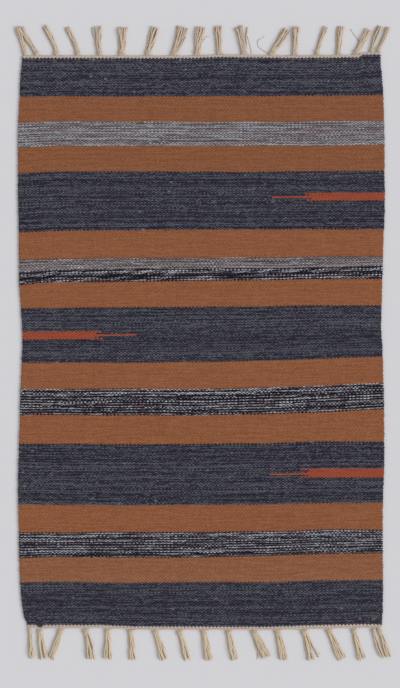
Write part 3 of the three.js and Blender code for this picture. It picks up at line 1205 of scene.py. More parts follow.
@dataclass(frozen=True)
class Strands:
    """How a tassel's strands run, in a layer on the floor and a looser one that crosses over it.

    Args:
        radius: The radius of a strand.
        unlike: The least and the most that its own radius is of that.
        abreast_pitch: How wide a tassel is for each strand that lies on the floor.
        neck: How far from the heading the strands begin to spread.
        rooted: How much of a strand's length lies inside the heading.
        emerged: After which share of it the strand has its full height.
        root_height: How high it starts inside the heading.
        ragged: How much shorter than its tassel it can be, as a share of the length.
        stray_short: How much shorter still it is where it splays away.
        knot_fill: How much of the knot's width the strands take up.
        shift: How unevenly the tips of each layer lie, in strands.
        crossing: How close to the others the top layer's tips lie.
        waves: For each of its slow waves, the least and the most length, and how far it swings.
        pinched: How thick it is in the knot, with 1 as its full thickness.
        worn: How much thinner than that its very tip is.
        stacked: The least and the most that one on top rests above its own radius, in radii.
        lift_every: How far apart the places lie where it lifts.
        points: How many points its path has.
    """

    radius: float = 1.4
    unlike: tuple[float, float] = (0.88, 1.08)
    abreast_pitch: float = 2.5
    neck: float = 6.5
    rooted: float = 0.03
    emerged: float = 0.04
    root_height: float = 1.6
    ragged: float = 0.06
    stray_short: float = 0.05
    knot_fill: float = 0.72
    shift: tuple[float, float] = (0.2, 0.3)
    crossing: float = 0.9
    waves: tuple[tuple[float, float, float], ...] = ((24, 40, 0.7), (11, 18, 0.25))
    pinched: float = 0.74
    worn: float = 0.3
    stacked: tuple[float, float] = (1.3, 1.75)
    lift_every: float = 31.0
    points: int = 27

    def lay(self, tassel: Tassel, knot: float) -> None:
        """Adds the strands.

        Args:
            tassel: The tassel that they are for.
            knot: The width of its knot.
        """
        plan, draw = tassel.plan, tassel.draw
        abreast = max(3, round(plan.width / self.abreast_pitch))
        for layer, count in ((FLOOR_LAYER, abreast), (TOP_LAYER, max(2, abreast - 1))):
            at_root = np.arange(count) - (count - 1) / 2
            at_tip = at_root + draw.normal(0, self.shift[0], count)
            if layer.on_top:
                at_tip = -at_root if plan.crossed else draw.permutation(at_root)
                at_tip = at_tip * self.crossing * abreast / count + draw.normal(0, self.shift[1], count)
            root_sides = at_root * self.knot_fill * knot / abreast
            tip_sides = at_tip * (plan.width / abreast)
            outermost = 0 if plan.stray < 0 else count - 1
            for number in range(count):
                strays = plan.stray != 0 and not layer.on_top and number == outermost
                self.strand(tassel, layer, root_sides[number], tip_sides[number], strays)

    def strand(
        self, tassel: Tassel, layer: StrandLayer, root_side: float, tip_side: float, strays: bool
    ) -> None:
        """Adds one strand.

        Args:
            tassel: The tassel that it is for.
            layer: The layer that it is in.
            root_side: How far beside the tassel's curve it leaves the knot.
            tip_side: How far beside it its tip would lie if nothing swayed it.
            strays: Whether it splays away from the others.
        """
        plan, draw = tassel.plan, tassel.draw
        end = 1 - draw.uniform(0, self.ragged) - (self.stray_short if strays else 0)
        s = np.linspace(-self.rooted, end, self.points)
        run = s * plan.length
        share = (s.clip(0, None) / end).clip(0, 1)
        opening = ((run - self.neck) / (plan.length - self.neck)).clip(0, 1)
        thick = self.radius * draw.uniform(*self.unlike)
        # To the side, it goes from its place in the knot to its place at the tip, in slow waves.
        side = root_side + (tip_side - root_side) * opening**0.55
        side += plan.stray * opening**1.5 if strays else 0
        side += math.copysign(plan.parted / 2, tip_side) * opening
        lengths = [draw.uniform(shortest, longest) for shortest, longest, _ in self.waves]
        for length, (_, _, size) in zip(lengths, self.waves, strict=True):
            side += size * opening**0.5 * np.sin(2 * math.pi * (run / length + draw.random()))
        # It is pinched in the knot, swells as it opens and is worn thin just before its tip.
        radius = thick * (self.pinched + (1 - self.pinched) * opening**0.4)
        radius = radius * (1 - self.worn * ((share - 0.95) / 0.05).clip(0, 1))
        # It leaves the knot high, comes down to the floor or the other layer, and lifts here and there.
        rest = radius + (radius * draw.uniform(*self.stacked) if layer.on_top else 0)
        falls = ((run - self.neck + 1) / layer.fall).clip(0, 1)
        height = layer.held + (rest - layer.held) * falls * falls * (3 - 2 * falls)
        bounce = np.abs(np.sin(2 * math.pi * (run / self.lift_every + draw.random())))
        height += layer.bounce * opening * bounce + plan.rise * opening**2
        into_heading = np.interp(s, (-self.rooted, self.emerged), (self.root_height, layer.held))
        tassel.add(s, side, np.where(s < self.emerged, into_heading, height), radius)


@dataclass(frozen=True)
class WarpEnds:
    """The warp ends that run along the heading's outer edge into the knots.

    Args:
        radius: Their radius.
        margin: How far inside its stretch of the heading a tassel's first and last ones start.
        hidden: How near the tassel's root a warp goes straight into the knot, in widths of the knot.
        tucked: How far from the root the others end in it, in widths.
        inside: How far inside the heading's edge they start.
        height: How high they start.
        climb: How far they rise to the knot.
        slack: How unevenly they lie.
        points: How many points the path of one has.
    """

    radius: float = 0.55
    margin: tuple[float, float] = (1.5, 1.0)
    hidden: float = 0.3
    tucked: float = 0.2
    inside: float = 0.9
    height: float = 1.1
    climb: float = 1.3
    slack: float = 0.25
    points: int = 8

    def gather(self, tassel: Tassel, knot: float, low: float, high: float) -> None:
        """Adds the warp ends.

        Args:
            tassel: The tassel that they run into.
            knot: The width of its knot.
            low: Where its stretch of the heading begins.
            high: Where that stretch ends.
        """
        root, end = tassel.plan.root, tassel.end
        t = np.linspace(0, 1, self.points)
        for start in np.arange(low + self.margin[0], high - self.margin[1], WARP_PITCH):
            far = abs(start - root)
            if far < knot * self.hidden:
                continue
            stop = root - math.copysign(1, root - start) * knot * self.tucked
            x = start + (stop - start) * t**0.75
            stack = 0.35 * (1 - far / (high - low)) + self.slack * tassel.draw.random()
            y = end.outer(x) + end.outward * (-self.inside + (0.7 + stack) * np.sqrt(t) + 1.4 * t**6)
            z = self.height + self.climb * t * (1 - far / 60) + self.slack * tassel.draw.normal()
            tassel.bundle.add(np.column_stack([x, y, np.maximum(z, self.radius)]), self.radius)


@dataclass
class TasselRow:
    """The row of tassels at one end of the rug, each with its knot, its strands and the warps that feed it.

    Args:
        plan: The end that it is at.
        finishes: The materials.
        knot: How the knots are tied.
        strands: How the strands run.
        warps: How the warp ends reach the knots.
        wisp_radius: The radius of a loose strand.
        wisp_thinning: How much thinner its tip is.
        wisp_rise: How much higher its start lies than its tip.
        wisp_points: How many points its path has.
    """

    plan: EndPlan
    finishes: FinishRack
    knot: Knot = Knot()
    strands: Strands = Strands()
    warps: WarpEnds = WarpEnds()
    wisp_radius: float = 0.42
    wisp_thinning: float = 0.35
    wisp_rise: float = 0.9
    wisp_points: int = 22

    def wisp(self, wisp: Wisp, bundle: YarnBundle) -> None:
        """Adds a thin loose strand, as a smooth curve that thins towards its tip.

        Args:
            wisp: The strand and the places that it runs through.
            bundle: What it is added to.
        """
        places = np.array(wisp.places)
        at = np.arange(len(places))
        t = np.linspace(0, at[-1], self.wisp_points)
        curve = [np.polyval(np.polyfit(at, places[:, axis], 3), t) for axis in (0, 1)]
        height = self.wisp_radius * 1.1 + self.wisp_rise * (1 - t / at[-1]) ** 3
        radius = self.wisp_radius * (1 - self.wisp_thinning * t / at[-1])
        bundle.add(np.column_stack([*curve, height]), radius)

    def build(self) -> list[bpy.types.Object]:
        """Makes every tassel of the row.

        Returns:
            The pieces, from the left.
        """
        end, pieces = self.plan, []
        roots = np.array([plan.root for plan in end.tassels])
        bounds = [end.table[0, 0], *(roots[1:] + roots[:-1]) / 2, end.table[-1, 0]]
        for number, plan in enumerate(end.tassels):
            tassel = Tassel(plan, end, np.random.default_rng(100 * (end.outward + 2) + number))
            width = self.knot.width(plan)
            self.strands.lay(tassel, width)
            self.knot.tie(tassel)
            self.warps.gather(tassel, width, bounds[number], bounds[number + 1])
            for wisp in WISPS:
                if (wisp.end, wisp.tassel) == (end.end, number + 1):
                    self.wisp(wisp, tassel.bundle)
            draft = Draft((BAKE_MAP, YARN_MAP))
            tassel.bundle.drawn(draft)
            node = f"tassel_{end.name}_{number + 1:02d}"
            piece = dressed(draft.finished(f"cotton_{node}"), self.finishes.tassels[end.end])
            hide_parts(node)
            pieces.append(piece)
        return pieces


@dataclass(frozen=True)
class Wire:
    """A value that one node hands on. Arithmetic on it lays the node that does it."""

    bench: NodeBench
    socket: bpy.types.NodeSocket

    def __add__(self, other: object) -> Wire:
        """Returns the sum."""
        return self.bench.math("ADD", self, other)

    def __sub__(self, other: object) -> Wire:
        """Returns the difference."""
        return self.bench.math("SUBTRACT", self, other)

    def __mul__(self, other: object) -> Wire:
        """Returns the product."""
        return self.bench.math("MULTIPLY", self, other)

    def __truediv__(self, other: object) -> Wire:
        """Returns the quotient."""
        return self.bench.math("DIVIDE", self, other)

    def __abs__(self) -> Wire:
        """Returns the value without its sign."""
        return self.bench.math("ABSOLUTE", self)

    def times(self, factor: object, plus: object) -> Wire:
        """Returns the product with a factor and the sum with another value, in one node."""
        return self.bench.math("MULTIPLY_ADD", self, factor, plus)


class NodeBench:
    """Lays nodes in one tree and wires them, so that a finish reads as a recipe."""

    def __init__(self, tree: bpy.types.NodeTree) -> None:
        """Starts on a tree."""
        self.tree = tree

    def feed(self, socket: bpy.types.NodeSocket, value: object) -> None:
        """Links a socket or sets it.

        Args:
            socket: The input.
            value: The wire that is linked to it, or the value that it is set to.
        """
        if isinstance(value, Wire):
            self.tree.links.new(value.socket, socket)
        else:
            socket.default_value = value

    def add(
        self, kind: str, wires: dict[str | int, object] | None = None, **settings: object
    ) -> bpy.types.Node:
        """Adds a node.

        Args:
            kind: Its type.
            wires: What its inputs are fed, each under its name or number.
            **settings: Its settings.

        Returns:
            The node.
        """
        node = self.tree.nodes.new(kind)
        for name, value in settings.items():
            setattr(node, name, value)
        for key, value in (wires or {}).items():
            self.feed(node.inputs[key], value)
        return node

    def read(self, node: bpy.types.Node, output: str | int = 0) -> Wire:
        """Returns one of a node's outputs, under its name or number."""
        return Wire(self, node.outputs[output])

    def math(self, operation: str, *values: object) -> Wire:
        """Returns the result of one step of arithmetic."""
        return self.read(self.add("ShaderNodeMath", dict(enumerate(values)), operation=operation))

    def blend(self, share: object, first: object, second: object) -> Wire:
        """Returns a colour between two."""
        return self.read(self.add("ShaderNodeMix", {0: share, 6: first, 7: second}, data_type="RGBA"), 2)

    def shade(self, colour: object, value: object) -> Wire:
        """Returns a colour made lighter or darker by a factor."""
        return self.read(self.add("ShaderNodeVectorMath", {0: colour, "Scale": value}, operation="SCALE"))

    def between(
        self, value: Wire, low: float, high: float, start: float = 0.0, end: Wire | float = 1.0
    ) -> Wire:
        """Returns a value eased from start to end while it goes from low to high."""
        wires = {"Value": value, "From Min": low, "From Max": high, "To Min": start, "To Max": end}
        return self.read(self.add("ShaderNodeMapRange", wires, interpolation_type="SMOOTHSTEP"))

    def vector(self, x: object, y: object) -> Wire:
        """Returns a vector from two values."""
        return self.read(self.add("ShaderNodeCombineXYZ", {"X": x, "Y": y}))

    def noise(self, x: object, y: object, detail: float = 1.0, roughness: float = 0.5) -> Wire:
        """Returns soft noise at a place, with features one unit long."""
        wires = {"Vector": self.vector(x, y), "Scale": 1.0, "Detail": detail, "Roughness": roughness}
        return self.read(self.add("ShaderNodeTexNoise", wires, noise_dimensions="2D"))

    def chance(self, x: object, y: object) -> Wire:
        """Returns a value from 0 to 1 that is drawn anew at each place."""
        node = self.add("ShaderNodeTexWhiteNoise", {"Vector": self.vector(x, y)}, noise_dimensions="2D")
        return self.read(node)

    def corner_map(self, name: str) -> tuple[Wire, Wire]:
        """Reads one of the mesh's maps.

        Args:
            name: The map's name.

        Returns:
            Its two coordinates.
        """
        place = self.read(self.add("ShaderNodeUVMap", uv_map=name))
        split = self.add("ShaderNodeSeparateXYZ", {"Vector": place})
        return self.read(split, 0), self.read(split, 1)


def new_group(
    name: str, inputs: dict[str, object], outputs: tuple[str, ...]
) -> tuple[NodeBench, dict[str, Wire], bpy.types.Node]:
    """Starts a shader node group.

    Args:
        name: Its name.
        inputs: Its inputs and their defaults: a number, or a colour of four numbers.
        outputs: Its outputs, of which "Colour" is a colour and the others are numbers.

    Returns:
        A bench on it, the values that it is given and its output node.
    """
    tree = bpy.data.node_groups.new(name, "ShaderNodeTree")
    for label, default in inputs.items():
        kind = "NodeSocketColor" if isinstance(default, tuple) else "NodeSocketFloat"
        tree.interface.new_socket(label, in_out="INPUT", socket_type=kind).default_value = default
    for label in outputs:
        kind = "NodeSocketColor" if label == "Colour" else "NodeSocketFloat"
        tree.interface.new_socket(label, in_out="OUTPUT", socket_type=kind)
    bench = NodeBench(tree)
    given = bench.add("NodeGroupInput")
    return bench, {label: bench.read(given, label) for label in inputs}, bench.add("NodeGroupOutput")


def plied_weft_group() -> bpy.types.NodeTree:
    """Makes the group for a weft of two strands that lie side by side.

    Most floats show one strand along their upper edge and the other along their lower one. Now and then the
    strands change places, and in some stretches one of them hides the other.

    Returns:
        The group.
    """
    grey = (128, 128, 128)
    inputs = WeftFinish(first=grey, second=grey, seed=0.0).inputs()
    bench, given, result = new_group("plied_weft", inputs, ("Colour", "Height"))
    warp, lateral = bench.corner_map(WEFT_MAP)
    pick, own = bench.corner_map(PICK_MAP)
    along = warp * WARP_PITCH
    row = pick.times(PICKS_APART, given["Seed"])
    # The order of the strands: 1 with the second one on the lower side, -1 with it on the upper one.
    swaps = (bench.noise(along / given["Swap Length"], row) - 0.5) * 4.0
    swaps = swaps + (bench.chance(row, 1.7) - 0.5) + given["Swap Bias"]
    returning = bench.math("FLOORED_MODULO", pick, 2.0) * given["Mirrored Returns"]
    order = bench.between(swaps, -0.05, 0.05, -1.0, 1.0) * returning.times(-2.0, 1.0)
    # How much of the second strand shows: by stretch, by slanting streak, by pick and by float.
    streak = bench.noise(along / given["Streak Length"], row + 517.0, 2.0, 0.6) - 0.5
    runs = along / given["Slant Run"]
    slant = bench.noise((runs + pick) * 0.5, runs.times(0.2, given["Seed"])) - 0.5
    by_pick = bench.chance(row, given["Seed"]) - 0.5
    by_float = bench.chance(row, own) - 0.5
    lean = slant.times(given["Slant Contrast"], streak * given["Streak Contrast"])
    lean = by_pick.times(given["Pick Contrast"], lean)
    lean = by_float.times(given["Float Contrast"], lean)
    lean = lean + given["Second Share"].times(2.0, -1.0)
    # The border between the strands, frayed by their fibres.
    fibre = bench.noise(along * 0.45, lateral.times(3.6, row), 3.0, 0.6)
    border = (lateral.times(order, lean) + (fibre - 0.5) * 0.9) / given["Softness"]
    third = bench.noise(along / 55.0, row + 903.0) + given["Third Share"]
    other = bench.blend(bench.between(third, 0.97, 1.03), given["Second Colour"], given["Third Colour"])
    colour = bench.blend(bench.between(border, -1.0, 1.0), given["First Colour"], other)
    # The tone: by float and pick, by fibre, by column of floats, with painted shade in the hollows and
    # along the twist.
    tone = (bench.chance(own, row) - 0.5 + by_pick) * given["Tone Spread"]
    tone = tone + bench.between(fibre, 0.25, 0.75, 0.84, 1.16)
    tone = (bench.noise(own * 5.3, pick * 0.08) - 0.5).times(given["Rib Contrast"], tone)
    # Painted shade: the tone darkens towards the hollows between the floats by Gap Shade, and is a painted
    # lightening there where Gap Shade is above 1.
    to_gap = bench.math("MAXIMUM", abs(warp - own), abs(lateral))
    tone = tone * bench.between(to_gap, 0.25, 0.85, 1.0, given["Gap Shade"])
    # Painted shade along the twist: the tone rises and falls by a tenth with the twist, whose ridges also
    # raise the bump.
    twist = bench.math("SINE", along.times(4.1, lateral * 5.2))
    tone = tone * twist.times(0.1, 1.0)
    height = bench.between(abs(border), 0.0, 1.2).times(0.3, fibre * 0.7)
    bench.feed(result.inputs["Colour"], bench.shade(colour, tone))
    bench.feed(result.inputs["Height"], twist.times(0.3, height))
    return bench.tree


def flecks_group() -> bpy.types.NodeTree:
    """Makes the group for the odd fleck of another fibre spun into a weft.

    Returns:
        The group.
    """
    inputs = {"Colour": GREY, "Fleck Colour": GREY, "Share": 0.01, "Seed": 0.0}
    bench, given, result = new_group("spun_flecks", inputs, ("Colour",))
    warp, lateral = bench.corner_map(WEFT_MAP)
    pick, own = bench.corner_map(PICK_MAP)
    some = bench.math("LESS_THAN", bench.chance(pick + given["Seed"], own * 1.7), given["Share"])
    fibres = bench.noise(warp * 1.1, lateral.times(4.5, pick), 2.0)
    mask = some * bench.between(fibres, 0.44, 0.56)
    bench.feed(result.inputs["Colour"], bench.blend(mask, given["Colour"], given["Fleck Colour"]))
    return bench.tree


def warp_peep_group() -> bpy.types.NodeTree:
    """Makes the group for the specks of pale warp that show at the narrow ends of some floats.

    Returns:
        The group.
    """
    inputs = {"Colour": GREY, "Warp Colour": GREY, "Share": 0.1, "Seed": 0.0}
    bench, given, result = new_group("warp_peep", inputs, ("Colour",))
    warp, _ = bench.corner_map(WEFT_MAP)
    pick, own = bench.corner_map(PICK_MAP)
    some = bench.math("LESS_THAN", bench.chance(pick + given["Seed"], own), given["Share"])
    mask = bench.between(abs(warp - own), 0.74, 0.9) * some
    bench.feed(result.inputs["Colour"], bench.blend(mask, given["Colour"], given["Warp Colour"]))
    return bench.tree


def twisted_yarn_group() -> bpy.types.NodeTree:
    """Makes the group for a round two-ply cotton yarn: its plies, its fibres, how its tone wanders and the
    painted shade in the grooves between its plies.

    Returns:
        The group.
    """
    inputs = {"Colour": GREY, "Shaded Groove Colour": GREY, "Ply Length": 4.5, "Tone Spread": 0.12}
    bench, given, result = new_group("twisted_yarn", inputs, ("Colour", "Height"))
    along, about = bench.corner_map(YARN_MAP)
    turns = about * 2.0 + along / given["Ply Length"]
    ply = abs(bench.math("SINE", turns * math.pi))
    fibre = bench.noise(along * 0.9, about * 7.0, 3.0, 0.6)
    slow = bench.noise(along * 0.11, 0.0)
    number = bench.math("FLOOR", (along + 100.0) / YARNS_APART)
    tone = (bench.chance(number, 3.0) - 0.5) * given["Tone Spread"]
    tone = tone + (slow - 0.5) * 0.22 + (fibre - 0.5) * 0.2 + 1.0
    # Painted shade: towards the grooves between the plies the colour goes over to the darker groove colour.
    colour = bench.blend(bench.between(ply, 0.0, 0.4), given["Shaded Groove Colour"], given["Colour"])
    bench.feed(result.inputs["Colour"], bench.shade(colour, tone))
    bench.feed(result.inputs["Height"], ply * 0.7 + fibre * 0.6)
    return bench.tree


@dataclass(frozen=True)
class Cotton:
    """What every cotton finish has in common: how matt it is and how deep its relief goes.

    Args:
        roughness: The roughness of the fibres.
        sheen: The weight of their soft sheen.
        sheen_roughness: How soft that sheen is.
        specular: How much they shine.
        relief: How deep the bump is.
    """

    roughness: float = 0.88
    sheen: float = 0.12
    sheen_roughness: float = 0.6
    specular: float = 0.2
    relief: float = 0.22

    def material(self, name: str) -> tuple[bpy.types.Material, NodeBench, bpy.types.Node]:
        """Starts a cotton material.

        Args:
            name: Its name.

        Returns:
            The material, a bench on its nodes and its shader.
        """
        made = bpy.data.materials.new(name)
        made.use_nodes = True
        shader = made.node_tree.nodes["Principled BSDF"]
        shader.inputs["Roughness"].default_value = self.roughness
        shader.inputs["Sheen Weight"].default_value = self.sheen
        shader.inputs["Sheen Roughness"].default_value = self.sheen_roughness
        shader.inputs["Specular IOR Level"].default_value = self.specular
        return made, NodeBench(made.node_tree), shader

    def dress(self, bench: NodeBench, shader: bpy.types.Node, colour: Wire, height: Wire) -> None:
        """Feeds a material's colour and relief to its shader.

        Args:
            bench: The bench on its nodes.
            shader: Its shader.
            colour: Its colour.
            height: How high its relief stands.
        """
        bench.feed(shader.inputs["Base Color"], colour)
        wires = {"Height": height, "Distance": self.relief * MM, "Strength": 1.0}
        bump = bench.add("ShaderNodeBump", wires)
        bench.feed(shader.inputs["Normal"], bench.read(bump))


@dataclass(frozen=True)
class Fleck:
    """A fibre of another colour in a weft: its display colour and the share of floats that show it."""

    colour: tuple[int, int, int]
    share: float


@dataclass(frozen=True)
class WeftFinish:
    """The finish of one weft of two strands.

    Args:
        first: The display colour of one strand.
        second: The display colour of the other.
        seed: Sets where the stretches fall.
        third: The display colour that the other one has in some stretches.
        thirds: How much of the third colour it has.
        share: How much of the second shows.
        mirrored: Whether the strands lie the other way round on every second pick.
        swap: How far the strands run before they change places.
        swap_bias: How much rarer than even it is that they do.
        streak: How long a stretch of one strand is.
        streaks: How strongly the stretches differ.
        slants: How strong the streaks are that climb from pick to pick.
        slant_run: How far such a streak runs while it climbs by one pick.
        picks: How strongly the picks differ.
        floats: How strongly the floats differ.
        softness: How softly one strand gives way to the other.
        tone: How far the floats differ in tone.
        rib: How far the columns of floats differ in tone.
        gap: How dark the painted shade in the hollows between the floats is, with 1 as light as the floats
            and above 1 a painted lightening.
        flecks: The fibres of other colours.
        peep: The share of floats that show a speck of warp.
        sheen: The weight of the fibres' soft sheen.
    """

    first: tuple[int, int, int]
    second: tuple[int, int, int]
    seed: float
    third: tuple[int, int, int] = (128, 128, 128)
    thirds: float = 0.0
    share: float = 0.5
    mirrored: bool = False
    swap: float = 200.0
    swap_bias: float = 0.0
    streak: float = 30.0
    streaks: float = 1.0
    slants: float = 0.0
    slant_run: float = 26.0
    picks: float = 0.5
    floats: float = 0.5
    softness: float = 0.3
    tone: float = 0.15
    rib: float = 0.0
    gap: float = 0.75
    flecks: tuple[Fleck, ...] = ()
    peep: float = 0.0
    sheen: float = 0.12

    def inputs(self) -> dict[str, object]:
        """Returns what the plied weft's node group is given for it."""
        return {
            "First Colour": linear(*self.first),
            "Second Colour": linear(*self.second),
            "Third Colour": linear(*self.third),
            "Second Share": self.share,
            "Third Share": self.thirds,
            "Mirrored Returns": float(self.mirrored),
            "Swap Bias": self.swap_bias,
            "Swap Length": self.swap,
            "Streak Length": self.streak,
            "Streak Contrast": self.streaks,
            "Slant Contrast": self.slants,
            "Slant Run": self.slant_run,
            "Pick Contrast": self.picks,
            "Float Contrast": self.floats,
            "Softness": self.softness,
            "Tone Spread": self.tone,
            "Rib Contrast": self.rib,
            "Gap Shade": self.gap,
            "Seed": self.seed,
        }


WARP_COTTON = (176, 166, 158)
NAVY_FLECKS = (
    Fleck((122, 96, 76), 0.0025),
    Fleck((132, 138, 144), 0.0025),
    Fleck((84, 52, 56), 0.0015),
    Fleck((60, 76, 100), 0.0015),
)
MELANGE_FLECKS = (Fleck((104, 58, 66), 0.008), Fleck((66, 78, 106), 0.005))
TERRACOTTA = WeftFinish(
    first=(152, 96, 63), second=(132, 77, 44), swap=50, streak=35, streaks=1.4, picks=0.6, floats=0.8,
    softness=0.8, tone=0.07, rib=0.16, gap=1.04, seed=7.0,
)
WEFTS = {
    Yarn.NAVY: WeftFinish(
        first=(28, 27, 51), second=(91, 92, 102), third=(79, 70, 88), thirds=0.4, share=0.51, mirrored=True,
        swap=110, swap_bias=0.2, streaks=0.8, slants=0.3, floats=0.9, tone=0.3, gap=0.3, seed=3.0,
        flecks=NAVY_FLECKS, peep=0.01, sheen=0.09,
    ),
    Yarn.TERRACOTTA: TERRACOTTA,
    Yarn.TERRACOTTA_DEEP: replace(TERRACOTTA, first=(145, 93, 62), second=(126, 74, 42), seed=8.0),
    Yarn.TERRACOTTA_SOFT: replace(TERRACOTTA, first=(152, 100, 71), second=(130, 80, 50), seed=9.0),
    Yarn.PALE: WeftFinish(
        first=(82, 69, 76), second=(150, 139, 141), third=(168, 170, 177), thirds=0.5, share=0.53,
        mirrored=True, swap_bias=0.4, streak=60, slants=0.4, gap=0.5, seed=11.0, flecks=MELANGE_FLECKS,
    ),
    Yarn.GREY: WeftFinish(
        first=(76, 66, 70), second=(158, 146, 148), third=(180, 181, 189), thirds=0.4, share=0.54,
        mirrored=True, swap_bias=0.2, streak=60, slants=0.6, picks=0.6, gap=0.45, seed=12.0,
    ),
    Yarn.STREAKED: WeftFinish(
        first=(15, 4, 24), second=(190, 188, 200), third=(137, 127, 134), thirds=0.4, share=0.335,
        mirrored=True, swap_bias=0.1, streak=60, streaks=0.5, slants=2.0, slant_run=11.0, picks=0.9,
        floats=0.3, softness=0.18, gap=0.2, seed=16.0, sheen=0.03,
    ),
    Yarn.DARK: WeftFinish(
        first=(15, 4, 24), second=(192, 192, 203), third=(140, 129, 138), thirds=0.42, share=0.372,
        mirrored=True, swap_bias=0.5, streak=50, slants=0.4, slant_run=18.0, picks=0.45, softness=0.18,
        gap=0.15, seed=17.0, flecks=MELANGE_FLECKS, sheen=0.03,
    ),
    Yarn.RUST: WeftFinish(
        first=(166, 78, 49), second=(146, 66, 43), share=0.45, swap=40, streaks=2.0, picks=0.6,
        softness=0.8, tone=0.1, gap=0.8, seed=23.0,
    ),
}
# The two picks of an inlay's tail show their rust strand along the edges that face each other.
INLAY_TAIL = WeftFinish(
    first=(30, 30, 46), second=(182, 88, 54), mirrored=True, streaks=0.3, picks=0.0, floats=0.2, gap=0.7,
    seed=29.0,
)
HEADING_CREAM = WeftFinish(
    first=(204, 194, 184), second=(192, 180, 170), swap=20, streak=14, streaks=2.0, floats=0.4,
    softness=0.8, tone=0.12, seed=31.0,
)
HEADING_PINK = WeftFinish(
    first=(214, 156, 144), second=(210, 184, 170), swap=20, streak=12, streaks=3.0, floats=0.4,
    softness=0.6, tone=0.12, seed=37.0,
)


@dataclass(frozen=True)
class YarnFinish:
    """The finish of a round twisted yarn.

    Args:
        crest: The display colour of its plies.
        groove: The darker display colour between them, painted shade in the grooves.
        ply: How far the yarn runs for one of its plies.
        tone: How far the lengths of yarn differ in tone.
    """

    crest: tuple[int, int, int]
    groove: tuple[int, int, int]
    ply: float = 5.6
    tone: float = 0.16


# Each yarn's second colour is the painted shade in the grooves between its plies.
CORD = YarnFinish((212, 197, 184), (184, 162, 147), ply=3.2)
TASSEL_COTTON = {
    End.UPPER: YarnFinish((198, 180, 160), (184, 164, 143)),
    End.LOWER: YarnFinish((204, 188, 165), (191, 172, 147)),
}


class FinishRack:
    """Makes every material once and hands it out."""

    def __init__(self) -> None:
        """Makes the node groups and the materials of the headings and tassels."""
        self.groups = {
            "weft": plied_weft_group(),
            "flecks": flecks_group(),
            "peep": warp_peep_group(),
            "yarn": twisted_yarn_group(),
        }
        self.wefts: dict[Yarn, bpy.types.Material] = {}
        self.tails = [
            self.woven(f"inlay_tail_{label}", replace(INLAY_TAIL, swap_bias=bias))
            for label, bias in (("even", 3.0), ("odd", -3.0))
        ]
        self.heading_cream = self.woven("heading_cream", HEADING_CREAM)
        self.heading_pink = self.woven("heading_pink", HEADING_PINK)
        self.cord = self.twisted("heading_cord", CORD)
        self.tassels = {
            end: self.twisted(f"tassel_cotton_{end.value}", finish) for end, finish in TASSEL_COTTON.items()
        }

    def place(self, bench: NodeBench, group: str, wires: dict[str, object]) -> bpy.types.Node:
        """Places one of the node groups in a material and feeds its inputs."""
        return bench.add("ShaderNodeGroup", wires, node_tree=self.groups[group])

    def woven(self, name: str, finish: WeftFinish) -> bpy.types.Material:
        """Makes the material of a weft.

        Args:
            name: Its name.
            finish: How it looks.

        Returns:
            The material.
        """
        cotton = Cotton(sheen=finish.sheen)
        made, bench, shader = cotton.material(name)
        weft = self.place(bench, "weft", finish.inputs())
        colour = bench.read(weft, "Colour")
        for number, fleck in enumerate(finish.flecks, 1):
            wires = {
                "Colour": colour,
                "Fleck Colour": linear(*fleck.colour),
                "Share": fleck.share,
                "Seed": finish.seed + FLECKS_APART * number,
            }
            colour = bench.read(self.place(bench, "flecks", wires), "Colour")
        if finish.peep:
            pale = linear(*WARP_COTTON)
            wires = {"Colour": colour, "Warp Colour": pale, "Share": finish.peep, "Seed": finish.seed}
            colour = bench.read(self.place(bench, "peep", wires), "Colour")
        cotton.dress(bench, shader, colour, bench.read(weft, "Height"))
        return made

    def twisted(self, name: str, finish: YarnFinish) -> bpy.types.Material:
        """Makes the material of a round twisted yarn.

        Args:
            name: Its name.
            finish: How it looks.

        Returns:
            The material.
        """
        cotton = Cotton(relief=0.2)
        made, bench, shader = cotton.material(name)
        wires = {
            "Colour": linear(*finish.crest),
            "Shaded Groove Colour": linear(*finish.groove),
            "Ply Length": finish.ply,
            "Tone Spread": finish.tone,
        }
        yarn = self.place(bench, "yarn", wires)
        cotton.dress(bench, shader, bench.read(yarn, "Colour"), bench.read(yarn, "Height"))
        return made

    def weft(self, yarn: Yarn) -> bpy.types.Material:
        """Hands out the material of a weft, made when it is first asked for.

        Args:
            yarn: The weft.

        Returns:
            Its material.
        """
        if yarn not in self.wefts:
            self.wefts[yarn] = self.woven(yarn.value, WEFTS[yarn])
        return self.wefts[yarn]


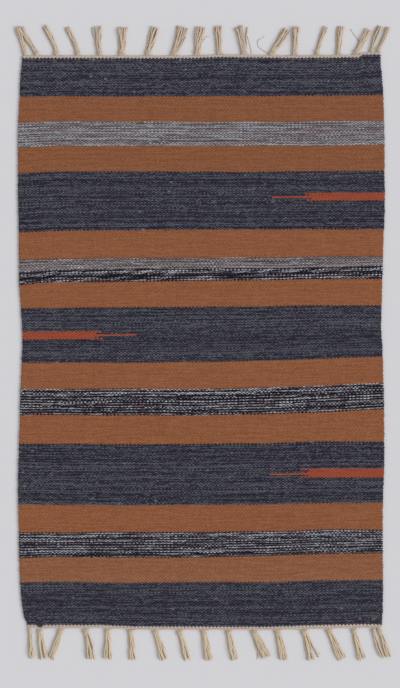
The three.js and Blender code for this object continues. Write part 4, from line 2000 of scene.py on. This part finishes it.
@dataclass
class Studio:
    """The pale floor, the soft light and the camera straight above the rug, with lengths in metres.

    Args:
        floor_size: How wide the floor is.
        floor_colour: Its display colour.
        lens: The camera's focal length, in millimetres.
        sensor: The width of its sensor, in millimetres.
        frame_height: How much of the floor the picture's height shows.
        centre: Where the camera hangs over.
        cloth_height: How high the plane lies that the frame is measured in.
        sun_strength: The strength of the sun.
        sun_height: How high it stands, in degrees.
        sun_bearing: Where it stands, in degrees from the rug's right towards its upper end.
        sun_angle: How broad it is, in degrees.
        sky: The strength of the even pale sky.
    """

    floor_size: float = 60.0
    floor_colour: tuple[int, int, int] = (216, 215, 219)
    lens: float = 85.0
    sensor: float = 36.0
    frame_height: float = 1.1338
    centre: tuple[float, float] = (-0.00515, -0.00097)
    cloth_height: float = 0.004
    sun_strength: float = 1.9
    sun_height: float = 36.0
    sun_bearing: float = -12.0
    sun_angle: float = 35.0
    sky: float = 0.58

    def floor(self) -> None:
        """Lays the floor, which isn't part of the rug."""
        bpy.ops.mesh.primitive_plane_add(size=self.floor_size)
        plane = bpy.context.object
        plane.name = "studio_floor"
        made = bpy.data.materials.new("studio_floor")
        made.use_nodes = True
        shader = made.node_tree.nodes["Principled BSDF"]
        shader.inputs["Base Color"].default_value = linear(*self.floor_colour)
        shader.inputs["Roughness"].default_value = 0.9
        shader.inputs["Specular IOR Level"].default_value = 0.1
        plane.data.materials.append(made)

    def light(self) -> None:
        """Sets a broad sun from the right and an even pale sky."""
        lamp = bpy.data.lights.new("soft_key", "SUN")
        lamp.energy = self.sun_strength
        lamp.angle = math.radians(self.sun_angle)
        key = bpy.data.objects.new("soft_key", lamp)
        height, bearing = math.radians(self.sun_height), math.radians(self.sun_bearing)
        toward = Vector(
            (math.cos(height) * math.cos(bearing), math.cos(height) * math.sin(bearing), math.sin(height))
        )
        key.rotation_euler = toward.to_track_quat("Z", "Y").to_euler()
        bpy.context.scene.collection.objects.link(key)
        world = bpy.data.worlds.new("soft_sky")
        world.use_nodes = True
        world.node_tree.nodes["Background"].inputs["Color"].default_value = (1.0, 1.0, 1.0, 1.0)
        world.node_tree.nodes["Background"].inputs["Strength"].default_value = self.sky
        bpy.context.scene.world = world
        bpy.context.scene.view_settings.view_transform = "Standard"

    def camera(self) -> None:
        """Hangs the camera over the rug so that the frame is as wide and high as the photograph's."""
        lens = bpy.data.cameras.new("overhead")
        lens.lens = self.lens
        lens.sensor_width = self.sensor
        lens.clip_end = 100
        eye = bpy.data.objects.new("overhead", lens)
        eye.location = (*self.centre, self.cloth_height + self.frame_height * self.lens / self.sensor)
        bpy.context.scene.collection.objects.link(eye)
        bpy.context.scene.camera = eye

    def build(self) -> None:
        """Sets up everything round the rug."""
        self.floor()
        self.light()
        self.camera()


def main() -> None:
    """Builds the rug piece by piece and hands each to the frame."""
    logging.basicConfig(level=logging.INFO, format="%(message)s")
    Studio().build()
    finishes = FinishRack()
    weave = Weave()
    underside, *stripes = Cloth(weave, finishes).build()
    for piece in (underside, *stripes):
        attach(piece, BODY)
        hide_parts("rug_cloth")
    fringe = []
    for plan in ENDS:
        heading = Heading(plan, weave, finishes).build()
        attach(heading, BODY)
        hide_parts(f"heading_{plan.name}")
        fringe.append(heading)
        for tassel in TasselRow(plan, finishes).build():
            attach(tassel, BODY)
            fringe.append(tassel)
    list(stripes)
    faces = sum(len(piece.data.polygons) for piece in (underside, *stripes, *fringe))
    log.info("whole rug: %d faces", faces)


if __name__ == "__main__":
    main()
